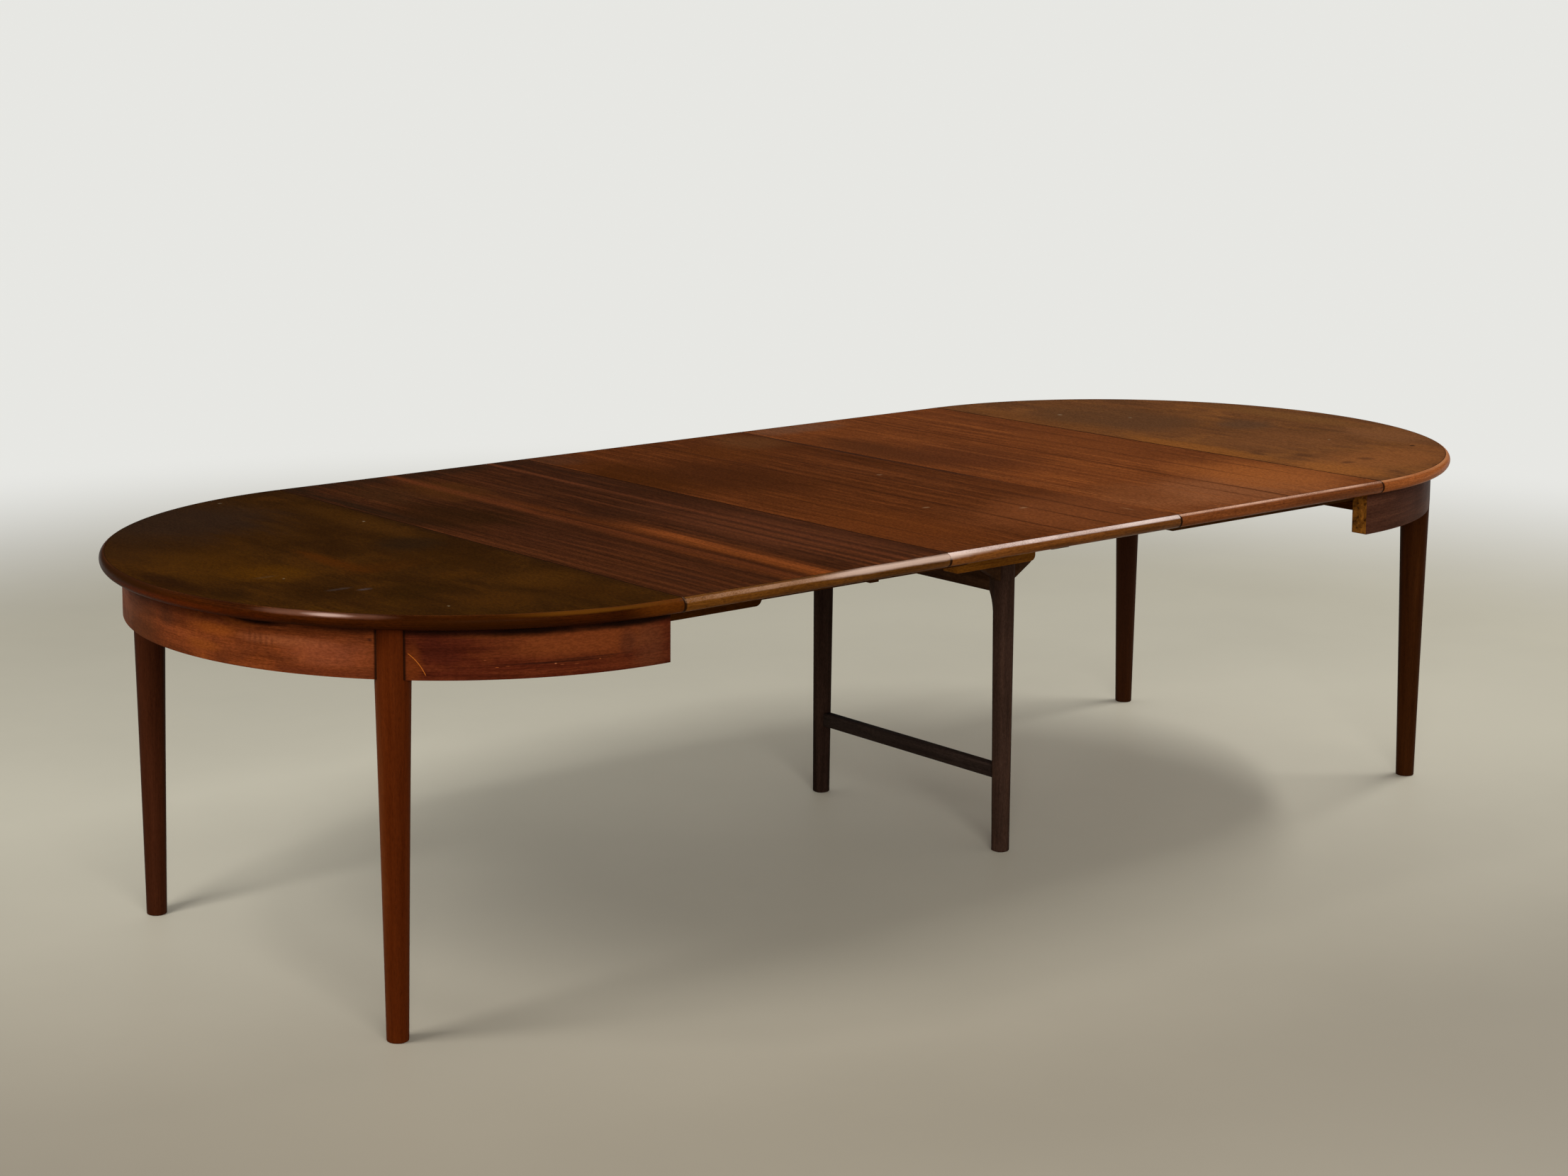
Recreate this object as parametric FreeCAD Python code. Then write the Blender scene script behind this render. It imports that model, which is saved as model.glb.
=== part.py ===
import FreeCAD, Part
import math
import os

# An extending dining table with three loose leaves in place. Lengths are in millimetres.
# +X runs along the table, +Z is up, and the origin is on the floor under the middle of the top.
# The left half stands at -X. The near side is at -Y and the far side at +Y.

# The top
table_height = 730.0
table_width = 1300.0
leaf_length = 600.0
leaf_count = 3
top_thickness = 25.0
lip_width = 38.0
nose_depth = 9.0
nose_end_ease = 1.6
seam_gap = 0.6

# The aprons under the two halves
apron_height = 90.0
apron_thickness = 36.0
apron_setback = 40.0

# The four turned legs of the halves
leg_top_diameter = 61.0
leg_foot_diameter = 38.0
leg_stand_out = 8.5
leg_angle = 44.6
leg_hollow = 0.6
leg_foot_chamfer = 2.5
leg_fit = 0.1

# The loose tenons between legs and aprons
tenon_thickness = 10.0
tenon_leg_reach = 14.0
tenon_apron_reach = 24.0
tenon_edge = 14.0

# The tie that holds the free ends of the aprons
tie_offset = 190.0
tie_width = 60.0
tie_thickness = 18.0
tie_rise = 2.0

# The telescoping runners lie side by side. Their places are counted from the outermost inwards.
left_fixed, left_slide, centre_member, right_slide, right_fixed = range(5)
runner_setback = 94.0
runner_thickness = 33.0
runner_height = 58.0
runner_end_round = 14.0
runner_gap = 1.0
slide_drop = 0.3
runner_reach = 308.0
runner_tail_clearance = 10.0
left_slide_outer_lap = 148.0
left_slide_inner_lap = 224.0
right_slide_inner_lap = 260.0
right_slide_outer_lap = 404.0
centre_runner_start = -274.0
centre_runner_length = 770.0

# The keys that join neighbouring runners
key_length = 105.0
key_end_inset = 5.0
key_neck = 15.0
key_base = 21.0
key_depth = 8.5
key_housing = 4.0
key_fit = 0.35

# How far the sliding parts can move from where they stand
frame_travel_out = 40.0
frame_travel_back = 200.0
half_travel = 40.0
stop_clearance = 1.0

# The screws under the runners and in the centre frame. Each hole is larger by the fit.
screw_head_diameter = 9.0
screw_head_height = 4.0
screw_shank_diameter = 4.5
screw_fit = 0.1
screw_sides = 8
runner_screw_length = 72.0
frame_screw_length = 25.0
runner_screw_inset = 60.0

# The battens under the leaves
batten_setback = 12.0
batten_width = 30.0
batten_inset = 25.0
batten_end_round = 8.0
batten_thickness = 12.0
deep_batten_thickness = 17.0

# The centre support frame
frame_x = 217.0
centre_foot_width = 33.5
centre_foot_chamfer = 2.0
centre_leg_setback = 92.0
centre_leg_top_width = 39.0
centre_leg_round = 14.5
ear_reach = 5.0
ear_drop = 38.0
ear_hollow = 2.0
cross_rail_thickness = 30.0
cross_rail_height = 58.0
stretcher_height = 30.0
stretcher_thickness = 20.0
stretcher_bottom = 147.0
stretcher_round = 5.0
bearer_left_reach = 147.0
bearer_right_reach = 68.0
bearer_width = 40.0
bearer_height = 46.0
bearer_end_round = 12.0
gusset_reach = 46.0
gusset_drop = 32.0
gusset_thickness = 20.0
gusset_nose = 4.0
board_width = 48.0
board_thickness = 14.0
board_overlap = 13.0
board_inset = 16.0
end_batten_width = 22.0
end_batten_thickness = 13.0

# One overrun serves every cut
overrun = 1.0

# Derived places
half_span = leaf_count * leaf_length / 2
top_radius = table_width / 2
panel_radius = top_radius - lip_width
underside = table_height - top_thickness
apron_outer = top_radius - apron_setback
apron_inner = apron_outer - apron_thickness
apron_bottom = underside - apron_height
leg_top_radius = leg_top_diameter / 2
leg_foot_radius = leg_foot_diameter / 2
leg_circle_radius = apron_outer + leg_stand_out - leg_top_radius
runner_outer = apron_inner - runner_setback
slide_top = underside - slide_drop
runner_bottom = underside - runner_height
runner_pitch = runner_thickness + runner_gap
key_level = underside - runner_height / 2
left_runner_end = -half_span + runner_reach
left_slide_start = left_runner_end - left_slide_outer_lap
left_slide_end = centre_runner_start + left_slide_inner_lap
centre_runner_end = centre_runner_start + centre_runner_length
right_slide_start = centre_runner_end - right_slide_inner_lap
right_runner_start = half_span - runner_reach
right_slide_end = right_runner_start + right_slide_outer_lap
centre_runner_inner = runner_outer - centre_member * runner_pitch - runner_thickness
centre_leg_outer = centre_runner_inner - centre_leg_setback
board_bottom = runner_bottom - board_thickness
centre_leg_height = board_bottom - bearer_height
batten_outer = panel_radius - batten_setback

X_AXIS = FreeCAD.Vector(1, 0, 0)
Y_AXIS = FreeCAD.Vector(0, 1, 0)
Z_AXIS = FreeCAD.Vector(0, 0, 1)
ORIGIN = FreeCAD.Vector(0, 0, 0)
QUARTER_TURN = 90.0
HALF_TURN = 180.0


def point(x, y, z):
    return FreeCAD.Vector(x, y, z)


def box(x0, x1, y0, y1, z0, z1):
    return Part.makeBox(x1 - x0, y1 - y0, z1 - z0, point(x0, y0, z0))


def mirror_x(shape):
    return shape.mirror(ORIGIN, X_AXIS)


def mirror_y(shape):
    return shape.mirror(ORIGIN, Y_AXIS)


def save(name, *solids):
    shape = solids[0] if len(solids) == 1 else Part.makeCompound(list(solids))
    shape.exportStep("parts/" + name + ".step")
    print(name, len(shape.Solids), round(shape.Volume))


def closed_face(edges):
    return Part.Face(Part.Wire(Part.__sortEdges__(edges)))


def line(a, b):
    return Part.LineSegment(a, b).toShape()


def arc(a, b, c):
    return Part.Arc(a, b, c).toShape()


# A bar that runs along X with its lower corners rounded, both or only the one at +X
def round_ended_bar(x0, x1, y0, y1, z0, z1, radius, both_ends=True):
    bar = box(x0, x1, y0, y1, z0, z1)
    ends = (x0, x1) if both_ends else (x1,)
    corners = [edge for edge in bar.Edges
               if edge.BoundBox.ZMax < (z0 + z1) / 2 and edge.BoundBox.YLength > edge.BoundBox.XLength
               and min(abs(edge.BoundBox.XMin - x) for x in ends) < radius]
    return bar.makeFillet(radius, corners)


# The section of the solid edging: flat inside, a full round nose outside
def lip_section(inner, outer, nose):
    top_edge = outer - nose
    middle = table_height - top_thickness / 2
    p = [point(inner, 0, underside), point(top_edge, 0, underside),
         point(outer, 0, middle), point(top_edge, 0, table_height),
         point(inner, 0, table_height)]
    edges = [line(p[0], p[1]), arc(p[1], p[2], p[3]), line(p[3], p[4]), line(p[4], p[0])]
    return closed_face(edges)


# The lip of a round end
def round_lip():
    section = lip_section(panel_radius, top_radius, nose_depth)
    section.rotate(ORIGIN, Z_AXIS, -QUARTER_TURN)
    return section.revolve(ORIGIN, Z_AXIS, HALF_TURN)


# The lip of a leaf, its nose eased at both seams
def straight_lip(start, end):
    wires = []
    for x, ease in ((start, nose_end_ease), (start + nose_end_ease, 0),
                    (end - nose_end_ease, 0), (end, nose_end_ease)):
        section = lip_section(panel_radius, top_radius - ease, nose_depth - ease)
        section.rotate(ORIGIN, Z_AXIS, QUARTER_TURN)
        wires.append(section.translated(point(x, 0, 0)).OuterWire)
    return Part.makeLoft(wires, True, True)


# The two halves are made at +X of their seam, with the centre of the round end at the origin,
# then moved to their seam, the left one mirrored
def place_half(shape, side):
    turned = shape if side > 0 else mirror_x(shape)
    return turned.translated(point(side * half_span, 0, 0))


def half_panel():
    disc = Part.makeCylinder(panel_radius, top_thickness, point(0, 0, underside), Z_AXIS, HALF_TURN)
    disc.rotate(ORIGIN, Z_AXIS, -QUARTER_TURN)
    return disc


def leg_centre(sign):
    angle = math.radians(leg_angle)
    return point(leg_circle_radius * math.cos(angle), sign * leg_circle_radius * math.sin(angle), 0)


# A turned leg: straight behind the apron, then a slightly hollow taper to a chamfered foot
def turned_leg():
    a = point(leg_foot_radius - leg_foot_chamfer, 0, 0)
    b = point(leg_foot_radius, 0, leg_foot_chamfer)
    shoulder = point(leg_top_radius, 0, apron_bottom)
    middle = (b + shoulder) / 2 - point(leg_hollow, 0, 0)
    top = point(leg_top_radius, 0, underside)
    axis_top = point(0, 0, underside)
    edges = [line(ORIGIN, a), line(a, b), arc(b, middle, shoulder),
             line(shoulder, top), line(top, axis_top), line(axis_top, ORIGIN)]
    return closed_face(edges).revolve(ORIGIN, Z_AXIS, 2 * HALF_TURN)


# Two tenons at one leg, one into each apron, along the tangent of the aprons
def tenon_pair(sign):
    middle_radius = (apron_outer + apron_inner) / 2
    start = leg_top_radius - tenon_leg_reach
    tenons = []
    for way in (-1, 1):
        y0, y1 = sorted((way * start, way * (leg_top_radius + tenon_apron_reach)))
        tenon = box(middle_radius - tenon_thickness / 2, middle_radius + tenon_thickness / 2, y0, y1,
                    apron_bottom + tenon_edge, underside - tenon_edge)
        tenon.rotate(ORIGIN, Z_AXIS, sign * leg_angle)
        tenons.append(tenon)
    return tenons


def apron_sector(start_angle, end_angle):
    outline = [point(apron_inner, 0, apron_bottom), point(apron_outer, 0, apron_bottom),
               point(apron_outer, 0, underside), point(apron_inner, 0, underside)]
    section = Part.Face(Part.makePolygon(outline + outline[:1]))
    section.rotate(ORIGIN, Z_AXIS, start_angle)
    return section.revolve(ORIGIN, Z_AXIS, end_angle - start_angle)


def leg_clearance(sign):
    foot = leg_centre(sign) + point(0, 0, apron_bottom - overrun)
    return Part.makeCylinder(leg_top_radius + leg_fit, apron_height + 2 * overrun, foot)


def end_apron(tenons):
    return apron_sector(-leg_angle, leg_angle).cut([leg_clearance(1), leg_clearance(-1)] + tenons)


def side_apron(sign, tenons):
    piece = apron_sector(leg_angle, QUARTER_TURN).cut([leg_clearance(1)] + tenons)
    return piece if sign > 0 else mirror_y(piece)


def apron_tie():
    bottom = apron_bottom + tie_rise
    bar = box(tie_offset, tie_offset + tie_width, -apron_inner, apron_inner,
              bottom, bottom + tie_thickness)
    round_end = Part.makeCylinder(apron_inner, apron_height, point(0, 0, apron_bottom))
    return bar.common(round_end)


# Screws and their holes have few sides, because they are small and hidden
def upright_prism(x, y, z, radius, height):
    turns = [2 * math.pi * i / screw_sides for i in range(screw_sides + 1)]
    outline = [point(x + radius * math.cos(turn), y + radius * math.sin(turn), z) for turn in turns]
    return Part.Face(Part.makePolygon(outline)).extrude(point(0, 0, height))


def screw(x, y, z, length):
    head = upright_prism(x, y, z, screw_head_diameter / 2, screw_head_height)
    shank = upright_prism(x, y, z, screw_shank_diameter / 2, length)
    return head.fuse(shank).removeSplitter()


def screw_hole(x, y, z, length):
    head_radius = screw_head_diameter / 2 + screw_fit
    head = upright_prism(x, y, z - overrun, head_radius, screw_head_height + overrun)
    shank = upright_prism(x, y, z, screw_shank_diameter / 2 + screw_fit, length + screw_fit)
    return head.fuse(shank)


# Runners are made on the far side and mirrored to the near side. A place counts inwards.
def runner_bounds(place):
    outer = runner_outer - place * runner_pitch
    return outer - runner_thickness, outer


def runner_bar(place, start, end, top):
    inner, outer = runner_bounds(place)
    return round_ended_bar(start, end, inner, outer, runner_bottom, top, runner_end_round)


# A dovetail that starts inside its own runner and widens in the next one out
def key_section(face, neck_start, neck, base, depth, x):
    half_outline = [(neck_start, neck / 2), (face, neck / 2), (face + depth, base / 2)]
    lower = [point(x, y, key_level - half) for y, half in half_outline]
    upper = [point(x, y, key_level + half) for y, half in reversed(half_outline)]
    return Part.Face(Part.makePolygon(lower + upper + lower[:1]))


# The key of the runner at a place sits in its outer face and slides in the next one out
def key(place, start):
    _, outer = runner_bounds(place)
    section = key_section(outer + runner_gap, outer - key_housing, key_neck, key_base, key_depth, start)
    return section.extrude(point(key_length, 0, 0))


def key_socket(place, start):
    _, outer = runner_bounds(place)
    return box(start, start + key_length, outer - key_housing, outer + overrun,
               key_level - key_neck / 2, key_level + key_neck / 2)


# The groove in the inner face of a runner, open at one end and stopped at the other
def groove(place, start, end):
    inner, _ = runner_bounds(place)
    section = key_section(inner, inner - overrun, key_neck + 2 * key_fit, key_base + 2 * key_fit,
                          key_depth + key_fit, start)
    return section.extrude(point(end - start, 0, 0))


def both_sides(shape):
    return mirror_y(shape), shape


# The two halves
def save_half(name, side):
    tenons = {sign: tenon_pair(sign) for sign in (1, -1)}
    all_tenons = tenons[1] + tenons[-1]
    save("lip_" + name, place_half(round_lip(), side))
    save("apron_" + name + "_end", place_half(end_apron(all_tenons), side))
    for sign, where in ((-1, "near"), (1, "far")):
        save("apron_" + name + "_" + where, place_half(side_apron(sign, tenons[1]), side))
        leg = turned_leg().translated(leg_centre(sign)).cut(tenons[sign])
        save("leg_" + name + "_" + where, place_half(leg, side))
    save("tenons_" + name, *[place_half(tenon, side) for tenon in all_tenons])
    save("tie_" + name, place_half(apron_tie(), side))


def save_top(name, side, screw_places):
    panel = place_half(half_panel(), side)
    holes = [screw_hole(x, y, runner_bottom, runner_screw_length) for x, y in screw_places]
    save("top_" + name, panel.cut(holes))
    save("screws_" + name, *[screw(x, y, runner_bottom, runner_screw_length) for x, y in screw_places])


def runner_screw_places(place, start, end):
    inner, outer = runner_bounds(place)
    middle = (inner + outer) / 2
    return [(x, sign * middle) for x in (start + runner_screw_inset, end - runner_screw_inset)
            for sign in (-1, 1)]


def save_fixed_runners(name, bar, places):
    holes = [screw_hole(x, abs(y), runner_bottom, runner_screw_length) for x, y in places]
    near, far = both_sides(bar.cut(holes))
    save("runner_" + name + "_near", near)
    save("runner_" + name + "_far", far)


# How far a fixed runner reaches back from the seam before it meets the round end apron
def runner_tail(place):
    _, outer = runner_bounds(place)
    return math.sqrt(apron_inner ** 2 - outer ** 2) - runner_tail_clearance


# The left runners are the outermost, and the first slide's key runs in their inner groove
def build_left_half():
    save_half("left", -1)
    start = -half_span - runner_tail(left_fixed)
    end = left_runner_end
    key_end = left_slide_start + key_end_inset + key_length
    stop = key_end + frame_travel_out / 2 + stop_clearance
    bar = runner_bar(left_fixed, start, end, underside).cut(groove(left_fixed, start - overrun, stop))
    places = runner_screw_places(left_fixed, start, -half_span)
    save_fixed_runners("left", bar, places)
    save_top("left", -1, places)


# The right runners are the innermost and carry the last keys
def build_right_half():
    save_half("right", 1)
    start = right_runner_start
    end = half_span + runner_tail(right_fixed)
    key_start = start + key_end_inset
    bar = runner_bar(right_fixed, start, end, underside).cut(key_socket(right_fixed, key_start))
    places = runner_screw_places(right_fixed, half_span, end)
    save_fixed_runners("right", bar, places)
    save("keys_right_runner", *both_sides(key(right_fixed, key_start)))
    save_top("right", 1, places)


# The slides between the centre frame and each half. A groove starts at the slide's left end and
# stops where the key in it has gone as far as it can.
def save_slides(name, place, start, end, stop):
    key_start = start + key_end_inset
    bar = runner_bar(place, start, end, slide_top)
    near, far = both_sides(bar.cut([key_socket(place, key_start), groove(place, start - overrun, stop)]))
    save("slide_" + name + "_near", near)
    save("slide_" + name + "_far", far)
    save("keys_" + name + "_slide", *both_sides(key(place, key_start)))


def build_slides():
    centre_key_end = centre_runner_start + key_end_inset + key_length
    stop = centre_key_end + frame_travel_out / 2 + stop_clearance
    save_slides("left", left_slide, left_slide_start, left_slide_end, stop)
    right_key_end = right_runner_start + key_end_inset + key_length
    stop = right_key_end + frame_travel_back / 2 + stop_clearance
    save_slides("right", right_slide, right_slide_start, right_slide_end, stop)


# The leaves: a panel with a solid lip at each end and two battens underneath
def build_leaves():
    for number in range(1, leaf_count + 1):
        seam = -half_span + (number - 1) * leaf_length
        start = seam + seam_gap / 2
        end = seam + leaf_length - seam_gap / 2
        name = "leaf_" + str(number)
        save(name, box(start, end, -panel_radius, panel_radius, underside, table_height))
        near, far = both_sides(straight_lip(start, end))
        save(name + "_lip_near", near)
        save(name + "_lip_far", far)
        depth = deep_batten_thickness if number == leaf_count else batten_thickness
        batten = round_ended_bar(start + batten_inset, end - batten_inset,
                                 batten_outer - batten_width, batten_outer,
                                 underside - depth, underside, batten_end_round)
        save(name + "_battens", *both_sides(batten))


# The ear is the hollow swelling of the leg where the cross rail meets it
def leg_ear():
    thickness = cross_rail_thickness
    x0 = frame_x - thickness / 2
    rail_bottom = centre_leg_height - cross_rail_height
    leg_inner = centre_leg_outer - centre_leg_top_width
    tip = leg_inner - ear_reach
    root = leg_inner + ear_reach
    low = point(x0, root, rail_bottom - ear_drop)
    high = point(x0, tip, rail_bottom)
    bend = (low + high) / 2 + point(0, ear_hollow, 0)
    top = point(x0, tip, centre_leg_height)
    back = point(x0, root, centre_leg_height)
    edges = [arc(low, bend, high), line(high, top), line(top, back), line(back, low)]
    return closed_face(edges).extrude(point(thickness, 0, 0))


# A centre leg tapers on three sides, with round corners and a chamfered foot. It is made as a
# wedge that lies along +Y, then stood up.
def centre_leg():
    foot, top = centre_foot_width, centre_leg_top_width
    shaft = Part.makeWedge(-foot / 2, 0, -centre_leg_outer, -centre_leg_outer, -top / 2,
                           foot / 2, centre_leg_height, foot - centre_leg_outer,
                           top - centre_leg_outer, top / 2)
    shaft.rotate(ORIGIN, X_AXIS, QUARTER_TURN)
    shaft.translate(point(frame_x, 0, 0))
    corners = [edge for edge in shaft.Edges if edge.BoundBox.ZLength > centre_leg_height / 2]
    shaft = shaft.makeFillet(centre_leg_round, corners)
    rim = [edge for edge in shaft.Edges if edge.BoundBox.ZMax < centre_foot_chamfer]
    shaft = shaft.makeChamfer(centre_foot_chamfer, rim)
    return shaft.fuse(leg_ear()).removeSplitter()


# A triangular cheek between the leg and the bearer, on the +X side for sign 1
def gusset(sign):
    leg_side = frame_x + sign * centre_leg_top_width / 2
    tip = leg_side + sign * gusset_reach
    top = centre_leg_height
    foot = top - gusset_drop
    y0 = centre_leg_outer - centre_leg_top_width / 2 - gusset_thickness / 2
    outline = [point(frame_x, y0, top), point(tip, y0, top), point(tip, y0, top - gusset_nose),
               point(leg_side, y0, foot), point(frame_x, y0, foot), point(frame_x, y0, top)]
    return Part.Face(Part.makePolygon(outline)).extrude(point(0, gusset_thickness, 0))


# The centre support frame: runners, boards, bearers, legs, rail, stretcher and gussets
def build_centre_frame():
    start = centre_runner_start
    inner, outer = runner_bounds(centre_member)
    board_reach = inner + board_overlap
    bearer_start = frame_x - bearer_left_reach
    bearer_end = frame_x + bearer_right_reach
    board_starts = (bearer_start + board_inset, bearer_end - board_inset - board_width)
    screw_y = inner + board_overlap / 2
    spots = [(x + board_width / 2, sign * screw_y) for x in board_starts for sign in (-1, 1)]
    holes = [screw_hole(x, y, board_bottom, frame_screw_length) for x, y in spots]

    right_key_end = right_slide_start + key_end_inset + key_length
    stop = right_key_end + frame_travel_back / 2 + half_travel + stop_clearance
    key_start = start + key_end_inset
    bar = runner_bar(centre_member, start, centre_runner_end, slide_top)
    near, far = both_sides(bar.cut([key_socket(centre_member, key_start),
                                    groove(centre_member, start - overrun, stop)]))
    save("centre_runner_near", near.cut(holes))
    save("centre_runner_far", far.cut(holes))
    save("keys_centre", *both_sides(key(centre_member, key_start)))
    for x, where in zip(board_starts, ("left", "right")):
        board = box(x, x + board_width, -board_reach, board_reach, board_bottom, runner_bottom)
        save("cross_board_" + where, board.cut(holes))
    save("frame_screws", *[screw(x, y, board_bottom, frame_screw_length) for x, y in spots])
    save("end_batten", box(start, start + end_batten_width, -outer, outer,
                           runner_bottom - end_batten_thickness, runner_bottom))

    bearer = round_ended_bar(bearer_start, bearer_end, centre_leg_outer - bearer_width, centre_leg_outer,
                             centre_leg_height, board_bottom, bearer_end_round, both_ends=False)
    near, far = both_sides(bearer)
    save("bearer_near", near)
    save("bearer_far", far)

    far_leg = centre_leg()
    near_leg = mirror_y(far_leg)
    save("centre_leg_near", near_leg)
    save("centre_leg_far", far_leg)
    rail_reach = centre_leg_outer - centre_leg_top_width
    rail = box(frame_x - cross_rail_thickness / 2, frame_x + cross_rail_thickness / 2,
               -rail_reach, rail_reach, centre_leg_height - cross_rail_height, centre_leg_height)
    save("cross_rail", rail.cut([near_leg, far_leg]))
    stretcher = box(frame_x - stretcher_thickness / 2, frame_x + stretcher_thickness / 2,
                    -centre_leg_outer + centre_foot_width / 2, centre_leg_outer - centre_foot_width / 2,
                    stretcher_bottom, stretcher_bottom + stretcher_height)
    long_edges = [edge for edge in stretcher.Edges if edge.BoundBox.YLength > centre_leg_outer]
    stretcher = stretcher.makeFillet(stretcher_round, long_edges)
    save("stretcher", stretcher.cut([near_leg, far_leg]))
    cheeks = [gusset(sign).cut(far_leg) for sign in (-1, 1)]
    save("gussets", *[side for cheek in cheeks for side in both_sides(cheek)])


os.makedirs("parts", exist_ok=True)
build_left_half()
build_right_half()
build_leaves()
build_slides()
build_centre_frame()
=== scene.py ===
import math
import bpy
from mathutils import Matrix, Vector


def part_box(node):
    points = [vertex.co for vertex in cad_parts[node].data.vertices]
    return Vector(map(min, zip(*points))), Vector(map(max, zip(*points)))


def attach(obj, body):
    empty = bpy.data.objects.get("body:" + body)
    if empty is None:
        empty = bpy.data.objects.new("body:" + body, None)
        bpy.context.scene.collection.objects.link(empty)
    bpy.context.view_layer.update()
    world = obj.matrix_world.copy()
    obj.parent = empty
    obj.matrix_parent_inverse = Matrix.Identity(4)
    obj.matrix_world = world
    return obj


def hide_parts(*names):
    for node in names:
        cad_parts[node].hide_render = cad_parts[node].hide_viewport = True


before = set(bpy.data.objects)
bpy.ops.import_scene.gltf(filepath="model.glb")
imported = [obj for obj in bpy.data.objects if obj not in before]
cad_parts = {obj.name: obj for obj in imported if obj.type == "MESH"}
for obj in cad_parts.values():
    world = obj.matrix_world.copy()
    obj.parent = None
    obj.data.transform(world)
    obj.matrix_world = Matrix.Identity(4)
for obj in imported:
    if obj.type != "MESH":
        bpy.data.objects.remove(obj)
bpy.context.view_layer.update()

# An old extending dining table in oiled red brown wood. Metres, +X along the table, +Z up.
scene = bpy.context.scene
scene.view_settings.view_transform = "Standard"
print("frame loaded:", len(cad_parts), "nodes")

# Places that the whole table shares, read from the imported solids
leafLow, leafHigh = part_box("leaf_1")
rightLow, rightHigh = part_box("lip_right")
underside, tableTop = leafLow.z, leafHigh.z
seamX = rightLow.x  # where a half meets its leaf
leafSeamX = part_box("leaf_2")[1].x  # where two leaves meet
topRadius = rightHigh.y
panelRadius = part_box("top_right")[1].y
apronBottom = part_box("apron_right_end")[0].z
legLow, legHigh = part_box("leg_right_far")
legAxis = ((legLow.x + legHigh.x) / 2, (legLow.y + legHigh.y) / 2, 0)
legRadius = (legHigh.x - legLow.x) / 2
halves = {"left": -1, "right": 1}
rows = {"near": -1, "far": 1}
zAxis = Vector((0, 0, 1))
tiny = 0.00001  # for picking by place and for merging
lipSizes = {"noseDepth": 0.009, "noseSteps": 12, "endEase": 0.0016, "spinSteps": 144}


# Modelling by hand: draw an outline, push or spin it, pick edges by place and ease them
def selectAll():
    bpy.ops.mesh.select_all(action="SELECT")


def clearSelection():
    bpy.ops.object.select_all(action="DESELECT")


def makeActive(piece):
    clearSelection()
    piece.select_set(True)
    bpy.context.view_layer.objects.active = piece


def objectMode():
    bpy.ops.object.mode_set(mode="OBJECT")


def editAll():
    bpy.ops.object.mode_set(mode="EDIT")
    bpy.ops.mesh.select_mode(type="VERT")
    selectAll()


# Selects the faces or edges that pass the test and stays in edit mode
def pick(piece, kind, test):
    makeActive(piece)
    mesh = piece.data
    for group in (mesh.vertices, mesh.edges, mesh.polygons):
        group.foreach_set("select", [False] * len(group))
    if kind == "FACE":
        chosen = [face for face in mesh.polygons if test(face.center, face.normal)]
    else:
        chosen = [edge for edge in mesh.edges if test(*[mesh.vertices[i].co for i in edge.vertices])]
    for part in chosen:
        part.select = True
    bpy.context.tool_settings.mesh_select_mode = (False, kind == "EDGE", kind == "FACE")
    bpy.ops.object.mode_set(mode="EDIT")


def easeEdges(piece, width, test, segments=3):
    pick(piece, "EDGE", test)
    bpy.ops.mesh.bevel(offset=width, segments=segments, affect="EDGES", profile=0.5)
    objectMode()


def drawOutline(name, points, filled=True):
    clearSelection()
    bpy.ops.mesh.primitive_plane_add(size=0.001, location=points[0])
    piece = bpy.context.object
    piece.name = piece.data.name = name
    bpy.ops.object.transform_apply(location=True)
    editAll()
    bpy.ops.mesh.merge(type="CENTER")  # one point is left to pull the outline from
    for start, end in zip(points, points[1:]):
        bpy.ops.mesh.extrude_region_move(TRANSFORM_OT_translate={"value": end - start})
    selectAll()
    if filled:
        bpy.ops.mesh.edge_face_add()
    return piece


def closeMesh():
    selectAll()
    bpy.ops.mesh.remove_doubles(threshold=tiny / 4)
    bpy.ops.mesh.normals_make_consistent(inside=False)
    objectMode()


def spinOutline(centre, turn, steps):
    bpy.ops.mesh.spin(steps=steps, angle=-turn, center=centre, axis=zAxis)  # spin turns clockwise
    closeMesh()


def pushOutline(way):
    bpy.ops.mesh.extrude_region_move(TRANSFORM_OT_translate={"value": way})
    closeMesh()


def smooth(piece, angle=32):
    makeActive(piece)
    bpy.ops.object.shade_smooth_by_angle(angle=math.radians(angle))
    return piece


def paint(piece, *materials):
    piece.data.materials.clear()
    for material in materials:
        piece.data.materials.append(material)


# Gives the faces that pass the test the material in that place of the piece's list
def paintFaces(piece, place, test):
    for face in piece.data.polygons:
        if test(face.center, face.normal):
            face.material_index = place


def seat(piece, body, slot, *nodes):
    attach(piece, body)
    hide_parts(*nodes)


# A copy of a solid, its triangles joined into whole faces and its sharp edges eased. Angles in degrees.
def easedCopy(node, name, ease, flat=0.5, sharp=40):
    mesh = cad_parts[node].data.copy()
    piece = bpy.data.objects.new(name, mesh)
    mesh.name = name
    mesh.materials.clear()
    scene.collection.objects.link(piece)
    makeActive(piece)
    bpy.ops.mesh.customdata_custom_splitnormals_clear()
    editAll()
    bpy.ops.mesh.remove_doubles(threshold=tiny)
    bpy.ops.mesh.dissolve_limited(angle_limit=math.radians(flat))
    objectMode()
    bpy.ops.object.modifier_add(type="BEVEL")
    bevel = piece.modifiers[-1]
    bevel.width, bevel.segments = ease, 2
    bevel.limit_method, bevel.angle_limit = "ANGLE", math.radians(sharp)
    bpy.ops.object.modifier_apply(modifier=bevel.name)
    return smooth(piece)


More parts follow.
